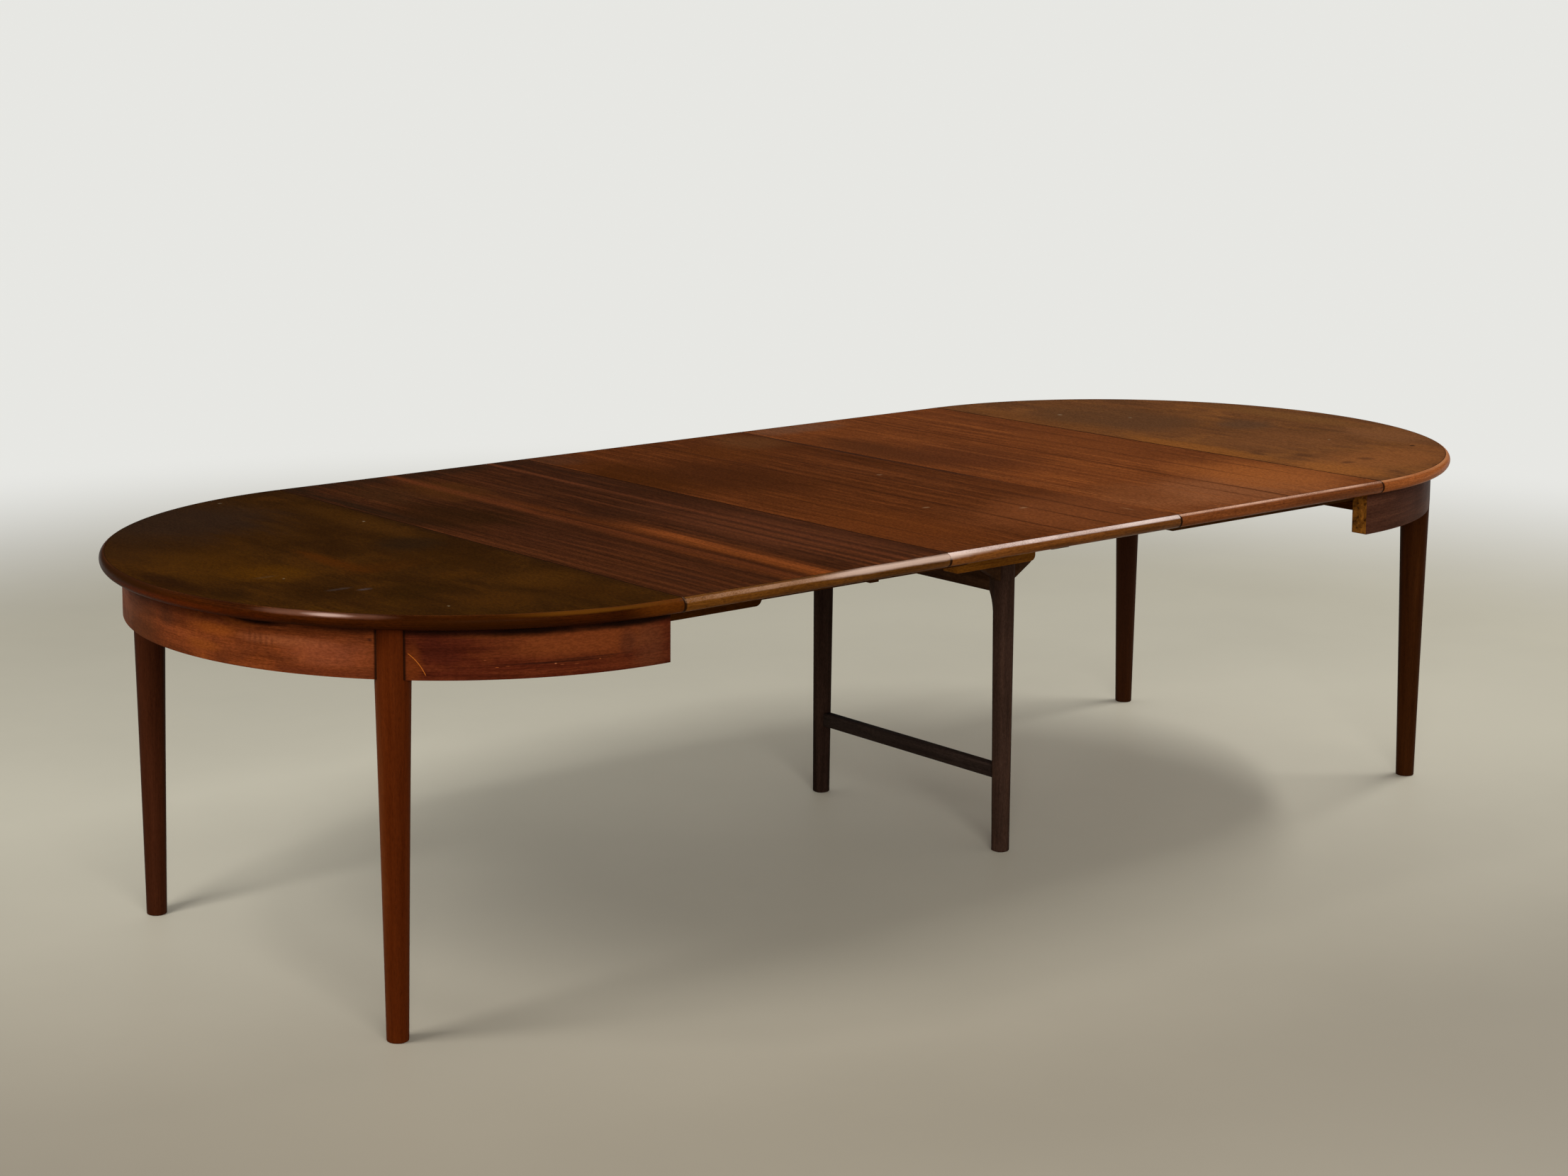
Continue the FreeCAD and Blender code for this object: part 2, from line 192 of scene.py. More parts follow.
# Links or sets the inputs of a node
def feed(tree, node, inputs):
    for key, value in inputs.items():
        if isinstance(value, bpy.types.NodeSocket):
            tree.links.new(value, node.inputs[key])
        elif isinstance(value, tuple) and len(value) == 3 and node.inputs[key].type == "RGBA":
            node.inputs[key].default_value = (*value, 1)
        else:
            node.inputs[key].default_value = value


nodeGrid = {"columns": 12, "width": 190, "height": 260}  # how the nodes are laid out in the editor


def addNode(tree, kind, inputs, **settings):
    node = tree.nodes.new("ShaderNode" + kind)
    line, column = divmod(len(tree.nodes), nodeGrid["columns"])
    node.location = (column * nodeGrid["width"], -line * nodeGrid["height"])
    for name, value in settings.items():
        setattr(node, name, value)
    feed(tree, node, inputs)
    return node


def maths(tree, operation, a, b=0.0):
    return addNode(tree, "Math", {0: a, 1: b}, operation=operation).outputs[0]


def plus(tree, a, b):
    return maths(tree, "ADD", a, b)


def minus(tree, a, b):
    return maths(tree, "SUBTRACT", a, b)


def times(tree, a, b):
    return maths(tree, "MULTIPLY", a, b)


def remap(tree, value, low, high, toLow=0.0, toHigh=1.0):
    inputs = {"Value": value, "From Min": low, "From Max": high, "To Min": toLow, "To Max": toHigh}
    return addNode(tree, "MapRange", inputs, interpolation_type="SMOOTHSTEP").outputs[0]


def vectorMaths(tree, operation, a, b):
    return addNode(tree, "VectorMath", {0: a, 1: b}, operation=operation).outputs[0]


def stretched(tree, vector, scale):
    return vectorMaths(tree, "MULTIPLY", vector, scale)


def lengthOf(tree, vector):
    return addNode(tree, "VectorMath", {0: vector}, operation="LENGTH").outputs["Value"]


def split(tree, vector):
    return addNode(tree, "SeparateXYZ", {0: vector}).outputs


def combine(tree, x, y, z):
    return addNode(tree, "CombineXYZ", {0: x, 1: y, 2: z}).outputs[0]


def mixColours(tree, amount, a, b, blend="MIX"):
    inputs = {0: amount, 6: a, 7: b}
    return addNode(tree, "Mix", inputs, data_type="RGBA", blend_type=blend).outputs[2]


# Lays a colour over another where the mask is, by an amount
def layOver(tree, colour, mask, amount, tint):
    return mixColours(tree, times(tree, mask, amount), colour, tint)


def noise(tree, vector, scale, detail=3.0, roughness=0.55, distortion=0.0):
    if isinstance(scale, tuple):  # one for each axis
        vector, scale = stretched(tree, vector, scale), 1
    inputs = {"Vector": vector, "Scale": scale, "Detail": detail, "Roughness": roughness, "Distortion": distortion}
    return addNode(tree, "TexNoise", inputs).outputs["Fac"]


def objectPlace(tree):
    return addNode(tree, "TexCoord", {}).outputs["Object"]


socketKinds = {"vector": "NodeSocketVector", "colour": "NodeSocketColor", "value": "NodeSocketFloat"}


def addSockets(group, way, kind, labels):
    for label in labels:
        group.interface.new_socket(label, in_out=way, socket_type=socketKinds[kind])


# A node group that takes vectors and values, and colours where it is told so
def startGroup(name, vectors, values, colours=()):
    group = bpy.data.node_groups.new(name, "ShaderNodeTree")
    for kind, labels in (("vector", vectors), ("value", values), ("colour", colours)):
        addSockets(group, "INPUT", kind, labels)
    return group, group.nodes.new("NodeGroupInput").outputs


def endGroup(group, **results):
    for label in results:
        addSockets(group, "OUTPUT", "colour" if label == "Color" else "value", [label])
    feed(group, group.nodes.new("NodeGroupOutput"), results)
    return group


def useGroup(tree, group, **inputs):
    return addNode(tree, "Group", inputs, node_tree=group).outputs


# Wood figure with its grain along Y: broad streaks, fine lines, open pores and darker clouds.
figureValues = ("streakSize", "stretch", "wander", "fineLines", "pores", "cloudSize", "clouds", "seed")
figureLook = {  # scales per metre across, along and up, and the pairs where a mask begins and is full
    "lineScale": (620, 9, 620), "poreScale": (1400, 70, 1400), "mottleScale": (420, 130, 420),
    "cloudShape": (1, 0.62, 1), "bendScale": 1.6, "middle": (0.34, 0.5), "light": (0.5, 0.68),
    "line": (0.36, 0.66), "pore": (0.6, 0.72), "cloud": (0.5, 0.66), "glow": (0.34, 0.48),
    "paleLine": (1.28, 1.26, 1.24), "darkLine": (0.62, 0.57, 0.54), "poreTint": (0.42, 0.34, 0.3),
    "lineHeight": 0.4}


def makeFigureGroup():
    look = figureLook
    group, given = startGroup("woodFigure", ["place"], figureValues, ["dark", "middle", "light", "cloud", "glow"])
    seed = given["seed"]
    place = vectorMaths(group, "ADD", given["place"], combine(group, seed, seed, seed))
    bend = times(group, minus(group, noise(group, place, look["bendScale"], detail=2), 0.5), given["wander"])
    bent = vectorMaths(group, "ADD", place, combine(group, bend, 0, bend))
    along = maths(group, "DIVIDE", given["streakSize"], given["stretch"])
    size = combine(group, given["streakSize"], along, given["streakSize"])
    streaks = noise(group, stretched(group, bent, size), 1, detail=5, roughness=0.62)
    lines = noise(group, bent, look["lineScale"], roughness=0.6)
    dashes = noise(group, place, look["poreScale"], detail=1, roughness=0.5)
    mottle = noise(group, bent, look["mottleScale"], roughness=0.65)
    pores = times(group, remap(group, dashes, *look["pore"]), given["pores"])
    clouds = noise(group, stretched(group, place, look["cloudShape"]), given["cloudSize"], detail=5,
                   roughness=0.6, distortion=0.5)
    cloudMask = times(group, remap(group, clouds, *look["cloud"]), given["clouds"])
    glowMask = times(group, remap(group, clouds, *look["glow"], 1, 0), given["clouds"])
    colour = mixColours(group, remap(group, streaks, *look["middle"]), given["dark"], given["middle"])
    colour = mixColours(group, remap(group, streaks, *look["light"]), colour, given["light"])
    tone = mixColours(group, remap(group, lines, *look["line"]), look["paleLine"], look["darkLine"])
    colour = mixColours(group, given["fineLines"], colour, tone, "MULTIPLY")
    colour = mixColours(group, cloudMask, colour, given["cloud"])
    colour = mixColours(group, glowMask, colour, given["glow"])
    colour = mixColours(group, pores, colour, look["poreTint"], "MULTIPLY")
    height = minus(group, times(group, lines, look["lineHeight"]), pores)
    return endGroup(group, Color=colour, Height=height, Patina=clouds, Mottle=mottle)


# What the marks of one board share: ragged rims, a drift that neighbouring lines follow, broken lines
unevenLook = {"clumpScale": (11, 5, 11), "fibreScale": (130, 9, 130), "fibreShare": 0.45,
              "waveScale": (2.6, 2.4, 2.6), "drift": 0.014, "breakScale": (210, 6, 210)}


def makeUnevenGroup():
    look = unevenLook
    group, given = startGroup("unevenness", ["place"], [])
    place = given["place"]
    parts = split(group, place)
    clumps = noise(group, place, look["clumpScale"], detail=6, roughness=0.68)
    fibres = noise(group, place, look["fibreScale"])
    rag = plus(group, minus(group, clumps, 0.5), times(group, minus(group, fibres, 0.5), look["fibreShare"]))
    wave = noise(group, place, look["waveScale"], detail=2)
    across = plus(group, parts[0], times(group, minus(group, wave, 0.5), look["drift"]))
    broken = noise(group, place, look["breakScale"])
    return endGroup(group, Rag=rag, Across=across, Along=parts[1], Broken=broken)


# A soft line along the grain, at a place across it, that grows in, breaks up and fades
stripeLook = {"rim": (0.1, 1), "fade": 0.3, "break": (0.3, 0.6), "least": 0.4}


def makeStripeGroup():
    group, given = startGroup("grainStripe", [], ["Across", "Along", "Broken", "spot", "width", "start", "end"])
    off = maths(group, "ABSOLUTE", minus(group, given["Across"], given["spot"]))
    mask = remap(group, maths(group, "DIVIDE", off, given["width"]), *stripeLook["rim"], 1, 0)
    for run in (minus(group, given["Along"], given["start"]), minus(group, given["end"], given["Along"])):
        mask = times(group, mask, remap(group, run, 0, stripeLook["fade"]))
    broken = remap(group, given["Broken"], *stripeLook["break"], stripeLook["least"], 1)
    return endGroup(group, Mask=times(group, mask, broken))


# A cloudy patch with a ragged rim, round its middle
patchRim = (0.3, 1.15)


def makePatchGroup():
    group, given = startGroup("raggedPatch", ["place", "middle", "reach"], ["Rag"])
    offset = vectorMaths(group, "DIVIDE", vectorMaths(group, "SUBTRACT", given["place"], given["middle"]),
                         given["reach"])
    away = plus(group, lengthOf(group, offset), given["Rag"])
    return endGroup(group, Mask=remap(group, away, *patchRim, 1, 0))


# Dirt in the joints: thin dark lines where the tops meet and where the veneer meets its edging
jointLook = {"seam": (0.45, 1), "rim": (0.003, 0.0004)}


def makeJointGroup():
    group, given = startGroup("jointDirt", ["place"], ["seam", "width"])
    parts = split(group, given["place"])
    off = maths(group, "ABSOLUTE", minus(group, parts[0], given["seam"]))
    seam = remap(group, maths(group, "DIVIDE", off, given["width"]), *jointLook["seam"], 1, 0)
    beyond = maths(group, "MAXIMUM", minus(group, maths(group, "ABSOLUTE", parts[0]), seamX), 0)
    away = lengthOf(group, combine(group, beyond, parts[1], 0))
    nose = topRadius - lipSizes["noseDepth"]
    return endGroup(group, Seam=seam, Rim=remap(group, away, *[nose - inward for inward in jointLook["rim"]]))


# A thin line round a middle: the joint between leg and apron, or a curved scratch
ringRim = (0.4, 1)


def makeRingGroup():
    group, given = startGroup("ringLine", ["place", "middle"], ["radius", "width"])
    away = lengthOf(group, vectorMaths(group, "SUBTRACT", given["place"], given["middle"]))
    off = maths(group, "ABSOLUTE", minus(group, away, given["radius"]))
    return endGroup(group, Mask=remap(group, maths(group, "DIVIDE", off, given["width"]), *ringRim, 1, 0))


# A band along a rounded edge, for finish rubbed off and for a painted highlight: between two slants of the surface,
# broken along the grain
wearAndHighlightLook = {"lowRise": 0.22, "highFall": 0.14, "speckScale": (1400, 260, 1400), "speck": (0.3, 0.7),
            "patchScale": 6, "patch": (0.35, 0.7, -0.4, 0.5), "full": 1.2}


def makeWearAndHighlightGroup():
    look = wearAndHighlightLook
    group, given = startGroup("wearAndHighlightRound", ["place", "normal"], ["low", "high", "broken"])
    up = split(group, given["normal"])[2]
    rise = remap(group, up, given["low"], plus(group, given["low"], look["lowRise"]))
    fall = remap(group, up, given["high"], plus(group, given["high"], look["highFall"]), 1, 0)
    speckle = noise(group, given["place"], look["speckScale"], roughness=0.7)
    patchy = noise(group, given["place"], look["patchScale"], roughness=0.6)
    rubAndSheenSpeckle = plus(group, remap(group, speckle, *look["speck"]), remap(group, patchy, *look["patch"]))
    band = times(group, rise, fall)
    return endGroup(group, Mask=times(group, band, remap(group, rubAndSheenSpeckle, given["broken"], look["full"])))


woodFigure = makeFigureGroup()
unevenness = makeUnevenGroup()
grainStripe = makeStripeGroup()
raggedPatch = makePatchGroup()
jointDirt = makeJointGroup()
ringLine = makeRingGroup()
wearAndHighlightRound = makeWearAndHighlightGroup()
print("node groups made")

# How a Mapping node turns each direction of the grain to Y
grainTurns = {"y": (0, 0, 0), "x": (0, 0, math.pi / 2), "z": (math.pi / 2, 0, 0)}


# The place on a piece with its grain laid along Y. Round pieces are unrolled about their seam centre.
def grainPlace(tree, grain):
    place = objectPlace(tree)
    if grain in grainTurns:
        return addNode(tree, "Mapping", {"Vector": place, "Rotation": grainTurns[grain]}).outputs[0]
    parts = split(tree, place)
    x = minus(tree, parts[0], halves[grain] * seamX)
    turn = maths(tree, "ARCTAN2", parts[1], times(tree, x, halves[grain]))
    away = lengthOf(tree, combine(tree, x, parts[1], 0))
    return combine(tree, away, times(tree, turn, topRadius), parts[2])


def startMaterial(name):
    material = bpy.data.materials.new(name)
    material.use_nodes = True
    return material, material.node_tree, material.node_tree.nodes["Principled BSDF"]


def bumped(tree, height, strength, distance):
    return addNode(tree, "Bump", {"Height": height, "Strength": strength, "Distance": distance}).outputs[0]


# Lengths in mm become metres, and thousandths become shares
def thousandths(values):
    return tuple(value / 1000 for value in values)


# A patch has its place and its reach, two numbers each on a top or a round side and three on a leg
def addPatches(tree, colour, look, place, rag, rows):
    for row in rows:
        spots, amount, tint = thousandths(row[:-4]), row[-4], thousandths(row[-3:])
        middle, reach = spots[:len(spots) // 2], spots[len(spots) // 2:]
        if len(middle) == 2 and "away" in look:
            middle, reach = (look["away"], *middle), (1, *reach)
        elif len(middle) == 2:
            middle, reach = (*middle, tableTop), (*reach, 1)
        mask = useGroup(tree, raggedPatch, place=place, middle=middle, reach=reach, Rag=rag)["Mask"]
        colour = layOver(tree, colour, mask, amount, tint)
    return colour


# What a finish has unless its look says otherwise, and what all marks share
plainLook = dict(
    grain="y", streakSize=60, stretch=24, wander=0.02, fineLines=0.5, pores=0.6, cloudSize=5, clouds=0.3,
    mottle=0.5, smoothest=0.4, roughest=0.52, shine=0.015, shineTint=(1, 0.6, 0.42), bump=0.3)
markLook = {"darkMottle": (0.66, 0.62, 0.58), "paleMottle": (1.36, 1.36, 1.34), "mottle": (0.34, 0.66),
            "seamAmount": 0.9, "legLine": 0.0045, "scratchLine": 0.0009, "scratchFade": 0.004,
            "patina": (0.3, 0.7), "bumpDistance": 0.0004}


def makeWood(name, changes):
    material, tree, shader = startMaterial(name)
    look = dict(plainLook, **changes)
    dark, middle, light = [thousandths(tone) for tone in look["tones"]]
    cloud = thousandths(look["cloud"]) if "cloud" in look else dark
    glow = thousandths(look["glow"]) if "glow" in look else light
    place = grainPlace(tree, look["grain"])
    figure = useGroup(tree, woodFigure, place=place, dark=dark, middle=middle, light=light, cloud=cloud,
                      glow=glow, **{label: look[label] for label in figureValues})
    uneven = useGroup(tree, unevenness, place=place)
    colour = addPatches(tree, figure["Color"], look, place, uneven["Rag"], look.get("patches", ()))
    drift = {label: uneven[label] for label in ("Across", "Along", "Broken")}
    for *spots, amount, red, green, blue in look.get("stripes", ()):
        spot, width, start, end = thousandths(spots)
        mask = useGroup(tree, grainStripe, spot=spot, width=width, start=start, end=end, **drift)["Mask"]
        colour = layOver(tree, colour, mask, amount, thousandths((red, green, blue)))
    mottle = mixColours(tree, remap(tree, figure["Mottle"], *markLook["mottle"]), markLook["darkMottle"],
                        markLook["paleMottle"])
    colour = mixColours(tree, look["mottle"], colour, mottle, "MULTIPLY")
    for seam, width in look.get("seams", ()):
        joint = useGroup(tree, jointDirt, place=objectPlace(tree), seam=seam, width=width / 1000)
        colour = layOver(tree, colour, joint["Seam"], markLook["seamAmount"], thousandths(dirt))
        if "rim" in look:
            colour = layOver(tree, colour, joint["Rim"], look["rim"], thousandths(dirt))
    if "legJoint" in look:
        mirrored = vectorMaths(tree, "ABSOLUTE", objectPlace(tree), (0, 0, 0))  # one axis does for all four legs
        line = useGroup(tree, ringLine, place=stretched(tree, mirrored, (1, 1, 0)), middle=legAxis,
                        radius=legRadius, width=markLook["legLine"])["Mask"]
        colour = layOver(tree, colour, line, look["legJoint"], thousandths(dirt))
    if "scratch" in look:
        y, z, radius, low, high, *tint = thousandths(look["scratch"])
        line = useGroup(tree, ringLine, place=stretched(tree, place, (0, 1, 1)), middle=(0, y, z), radius=radius,
                        width=markLook["scratchLine"])["Mask"]
        height = split(tree, place)[2]
        span = times(tree, remap(tree, height, low, low + markLook["scratchFade"]),
                     remap(tree, height, high - markLook["scratchFade"], high, 1, 0))
        colour = layOver(tree, colour, line, span, tuple(tint))
    # Wear and a painted highlight along the upper round of an edging
    if "wearAndHighlight" in look:
        low, high, broken, *tint = look["wearAndHighlight"]
        normal = addNode(tree, "TexCoord", {}).outputs["Normal"]
        mask = useGroup(tree, wearAndHighlightRound, place=place, normal=normal, low=low, high=high, broken=broken)["Mask"]
        colour = layOver(tree, colour, mask, look["wearAndHighlightAmount"], thousandths(tint))
    # Laid over everything last: rubs, and painted highlights on the edging
    colour = addPatches(tree, colour, look, place, uneven["Rag"], look.get("rubsAndHighlights", ()))
    feed(tree, shader, {
        "Base Color": colour, "Specular IOR Level": look["shine"], "Specular Tint": look["shineTint"],
        "Roughness": remap(tree, figure["Patina"], *markLook["patina"], look["smoothest"], look["roughest"]),
        "Normal": bumped(tree, figure["Height"], look["bump"], markLook["bumpDistance"])})
    return material


# The finishes. Lengths of marks are in mm and colours in thousandths of full light, linear. Patches, and rubs with
# painted highlights: place, reach, amount, colour. Stripes along the grain: place across, half width, start, end,
# amount, colour.
# Wear and painted highlight: two slants between them, how broken, colour. Scratch: middle (y, z), radius, lowest,
# highest, colour.
dirt = (10, 3.6, 1.6)  # in the joints
lipSeam = 4.2  # half width of the dark line between two lips
topShine = dict(shine=0.004, shineTint=(1, 0.55, 0.25), mottle=0.75, smoothest=0.42, roughest=0.55, rim=0.7)
# The left half is painted far darker than the right half: partly the wood, and partly painted light and sheen, which
# fall more on the table's right
leftTopLook = dict(
    topShine, seed=1.3, tones=((26, 8.9, 0.9), (31, 10.6, 1), (37, 12.9, 1)), streakSize=30, stretch=5,
    fineLines=0.35, cloud=(22, 7.3, 1), glow=(46, 15, 0.9), cloudSize=8.5, clouds=0.75, seams=[(-seamX, 2)], patches=[
        # The purple-grey patch at (-1240, 460) towards the far edge is a painted reflection
        (-1240, 460, 260, 240, 0.8, 21.5, 10.5, 5.5), (-1420, 280, 140, 200, 0.6, 23, 8.7, 2.1),
        (-1390, 60, 120, 200, 0.7, 46, 15.6, 0.8), (-1340, -60, 90, 90, 0.8, 58, 19.5, 0.4),
        (-1200, -40, 30, 140, 0.8, 56, 14.2, 0.4), (-1150, -130, 100, 50, 0.5, 51, 13.3, 0.4),
        (-955, 260, 55, 260, 0.75, 46, 16, 1.4), (-1000, 10, 80, 80, 0.85, 18, 7.5, 1.9),
        (-1060, -150, 120, 140, 0.5, 28, 9.3, 0.6), (-1340, -250, 85, 75, 0.85, 21, 6.9, 0.6),
        (-1470, -160, 50, 60, 0.8, 18, 6, 0.6), (-1220, -330, 90, 80, 0.7, 20, 6.9, 0.4),
        (-1090, -270, 70, 40, 0.5, 44, 14.2, 0.6), (-1000, -380, 100, 100, 0.75, 51, 17.3, 1.4),
        (-970, -520, 80, 80, 0.5, 40, 13.1, 1), (-1510, -20, 35, 140, 0.85, 16, 4.9, 0.8),
        (-1278, -267, 18, 9, 0.6, 50, 38.1, 36), (-1310, -240, 30, 9, 0.35, 46, 35.4, 31.5),
        (-1360, -80, 30, 8, 0.3, 54, 35.4, 18.8), (-1340, -110, 2.8, 2.6, 1, 181, 132.9, 75),
        (-950, 250, 3, 3.4, 1, 235, 186, 127.5), (-1070, 580, 5, 3.4, 0.9, 118, 88.6, 56.2),
        (-1240, -460, 2.6, 3, 1, 163, 132.9, 75)])
rightTopLook = dict(
    topShine, seed=5.1, tones=((112, 44, 15.8), (146, 55, 17.9), (179, 67.1, 17.9)), streakSize=34, stretch=6,
    fineLines=0.6, cloud=(101, 39.6, 13.7), glow=(224, 81.4, 19.9), cloudSize=9, clouds=0.6, seams=[(seamX, 3.4)],
    patches=[
        (950, 300, 80, 300, 0.7, 162, 55, 13.1), (930, -120, 55, 300, 0.85, 230, 78.1, 15.2),
        (1100, 300, 200, 250, 0.8, 104, 43.5, 16.6), (1270, 20, 100, 80, 0.9, 101, 45.1, 19.9),
        (1130, 160, 140, 120, 0.9, 106, 44, 17.3), (1440, 50, 60, 300, 0.8, 168, 68.2, 19.4),
        (1100, -470, 300, 130, 0.8, 230, 78.6, 21.5), (1170, -200, 200, 160, 0.6, 177, 64.9, 21),
        (1390, -280, 100, 160, 0.6, 202, 79.2, 28.4), (950, -500, 80, 140, 0.8, 269, 91.3, 19.9),
        (1030, -340, 20, 30, 0.8, 95, 35.2, 12.6), (1100, -450, 20, 20, 0.8, 112, 39.6, 13.7),
        (970, -270, 15, 30, 0.8, 95, 35.2, 12.6), (1030, -456, 20, 15, 0.8, 112, 39.6, 13.7),
        (1000, -250, 20, 20, 0.7, 106, 37.4, 12.6), (1314, -403, 9, 6, 1, 22, 8.8, 4.2),
        (1045, 380, 6, 7, 0.6, 336, 242, 147), (1140, 250, 5, 6, 0.6, 291, 209, 126),
        (1240, -240, 4, 4, 0.7, 336, 242, 147)])
darkLeafLook = dict(
    topShine, seed=2.2, tones=((30, 9, 2.7), (47, 13.5, 4), (71, 20.2, 5.8)), streakSize=75, stretch=40,
    wander=0.03, fineLines=1.0, cloud=(32, 10, 3.1), cloudSize=3, seams=[(-seamX, 2), (-leafSeamX, 2.6)], patches=[
        (-760, -100, 100, 220, 0.5, 31, 9.2, 3.4), (-790, 200, 140, 200, 0.75, 18, 6.5, 1.2),
        (-770, 470, 100, 140, 0.5, 37, 15.1, 4.2), (-600, 630, 500, 70, 0.6, 19, 8.9, 3.9),
        (-500, 20, 200, 80, 0.35, 37, 11.8, 4.5), (-640, 420, 90, 160, 0.6, 71, 21.9, 3.2),
        (-800, -500, 60, 80, 0.5, 32, 10, 4.4), (-400, -300, 150, 400, 0.6, 98, 28, 10.5)], stripes=[
        (-875, 40, 50, 1000, 0.9, 16, 7.4, 3), (-642, 24, -1000, 1000, 0.9, 104, 25.8, 6.6),
        (-610, 22, -1000, 450, 0.75, 85, 20.6, 3.8), (-580, 40, -950, 50, 1, 205, 50.5, 10),
        (-600, 16, -950, -50, 0.9, 142, 35.2, 6.2), (-628, 7, -900, 300, 0.8, 35, 9.3, 2.7),
        (-560, 10, -950, 100, 0.7, 43, 11.7, 3.6), (-664, 15, -950, 0, 0.8, 99, 24.7, 5.3),
        (-690, 10, -950, 300, 0.6, 35, 10.2, 3.4), (-535, 10, 100, 750, 0.8, 86, 24.6, 7.5),
        (-520, 10, -600, 600, 0.7, 32, 9.6, 3.4), (-483, 9, -950, 450, 0.85, 93, 25.7, 7.8),
        (-461, 9, -950, 0, 0.9, 119, 32, 9.6), (-448, 7, -950, 500, 0.8, 35, 10.2, 3.7),
        (-437, 8, -750, 450, 0.8, 91, 25.7, 7.9), (-425, 8, -950, 0, 0.9, 119, 32, 9.6),
        (-410, 8, -800, 850, 0.7, 37, 10.8, 3.8), (-393, 13, -950, 900, 0.95, 113, 30.4, 9.8),
        (-373, 8, -950, 600, 0.7, 42, 12.1, 4.3), (-360, 8, -950, 0, 0.8, 106, 29.8, 9.1),
        (-342, 8, -950, -50, 0.8, 101, 29.3, 9.1), (-325, 20, -500, 1000, 0.6, 35, 11.1, 3.7),
        (-878, 9, -950, 120, 0.5, 93, 25.7, 7.6), (-856, 8, -950, 80, 0.45, 89, 24.7, 7.4),
        (-842, 8, -950, 100, 0.45, 35, 10.2, 3.7), (-820, 7, -950, 0, 0.6, 80, 22.5, 6.6),
        (-800, 8, -950, 50, 0.45, 96, 25.7, 7.4), (-772, 9, -950, 120, 0.5, 97, 25.7, 7.3),
        (-758, 6, -950, 50, 0.6, 37, 10.8, 3.8), (-744, 8, -950, 20, 0.45, 93, 24.7, 7.1),
        (-722, 8, -950, 50, 0.6, 37, 10.8, 3.8), (-706, 9, -950, 80, 0.45, 93, 24.7, 7.1)])
middleLeafLook = dict(
    topShine, seed=7.4, tones=((70, 18.6, 3.9), (96, 25.5, 5.7), (138, 37.2, 8.3)), stretch=34,
    fineLines=0.9, cloud=(75, 20.5, 4.7), cloudSize=3.2, seams=[(-leafSeamX, 2.2), (leafSeamX, 1.3)], patches=[
        (-240, 300, 130, 280, 0.85, 50, 12.7, 1.4), (-100, 200, 160, 260, 0.8, 53, 14, 3.2),
        # The greyish patch at the far edge (-260, 600) is a painted reflection
        (-260, 600, 80, 90, 0.5, 64, 26, 13), (90, 430, 120, 140, 0.6, 102, 26.6, 4.1),
        (220, 520, 100, 120, 0.7, 124, 43.3, 12.7), (-200, -400, 140, 250, 0.6, 118, 29.4, 5.3),
        (160, -500, 260, 220, 0.85, 180, 51, 14), (158, 33, 9, 7, 0.4, 339, 199.8, 107.8),
        (-22, -294, 10, 6, 0.45, 316, 188.7, 98), (122, -410, 12, 6, 0.45, 316, 188.7, 98),
        (270, -540, 3, 24, 0.5, 316, 166.5, 78.4)], stripes=[
        (22, 8, -900, 950, 0.85, 50, 13.3, 3.5), (133, 8, -900, 600, 0.75, 61, 16.7, 4.3),
        (217, 8, -900, 600, 0.75, 63, 17.2, 4.9), (178, 10, -900, 400, 0.6, 169, 46.6, 10.8),
        (-150, 12, -900, 200, 0.5, 145, 37.7, 6.9), (-215, 8, -900, 600, 0.6, 56, 15, 3.5),
        (-80, 8, -900, 700, 0.5, 63, 16.7, 4.1), (75, 10, -900, 400, 0.5, 153, 41.1, 8.8),
        (293, 13, -300, 750, 0.85, 38, 13.9, 7.3)])
rightLeafLook = dict(
    topShine, seed=9.2, tones=((120, 32.8, 8.4), (160, 44.3, 11), (217, 62.1, 14.2)), streakSize=55, stretch=32,
    fineLines=0.9, cloud=(125, 34.5, 9.5), cloudSize=3, seams=[(leafSeamX, 1), (seamX, 3.4)], patches=[
        # The greyish patch at the far edge (420, 600) is a painted reflection
        (420, 600, 160, 70, 0.55, 140, 66, 36), (370, 250, 90, 320, 0.85, 76, 22.2, 6.8),
        (460, 80, 150, 240, 0.8, 88, 23.8, 7.4), (600, -520, 350, 180, 0.8, 240, 83, 30),
        (780, -440, 170, 240, 0.8, 320, 95, 20.5), (400, -430, 90, 140, 0.7, 165, 50, 14.5),
        (780, 0, 120, 350, 0.5, 177, 48.3, 11)], stripes=[
        (622, 9, -900, 950, 0.9, 68, 18.4, 5.3), (828, 8, -600, 800, 0.7, 97, 27, 7.4),
        (739, 8, -600, 800, 0.7, 100, 27.6, 7.4), (680, 10, -900, 700, 0.5, 228, 64.4, 14.7),
        (560, 9, -900, 600, 0.6, 100, 28.2, 7.9), (505, 9, -900, 600, 0.5, 217, 62.1, 15.8),
        (335, 5, -950, 100, 0.5, 228, 74.7, 22.1), (350, 5, -950, 100, 0.5, 228, 74.7, 22.1)])

leftTopWood = makeWood("leftTopWood", leftTopLook)
rightTopWood = makeWood("rightTopWood", rightTopLook)
leafWoods = [makeWood(name, look) for name, look in (
    ("darkLeafWood", darkLeafLook), ("middleLeafWood", middleLeafLook), ("rightLeafWood", rightLeafLook))]

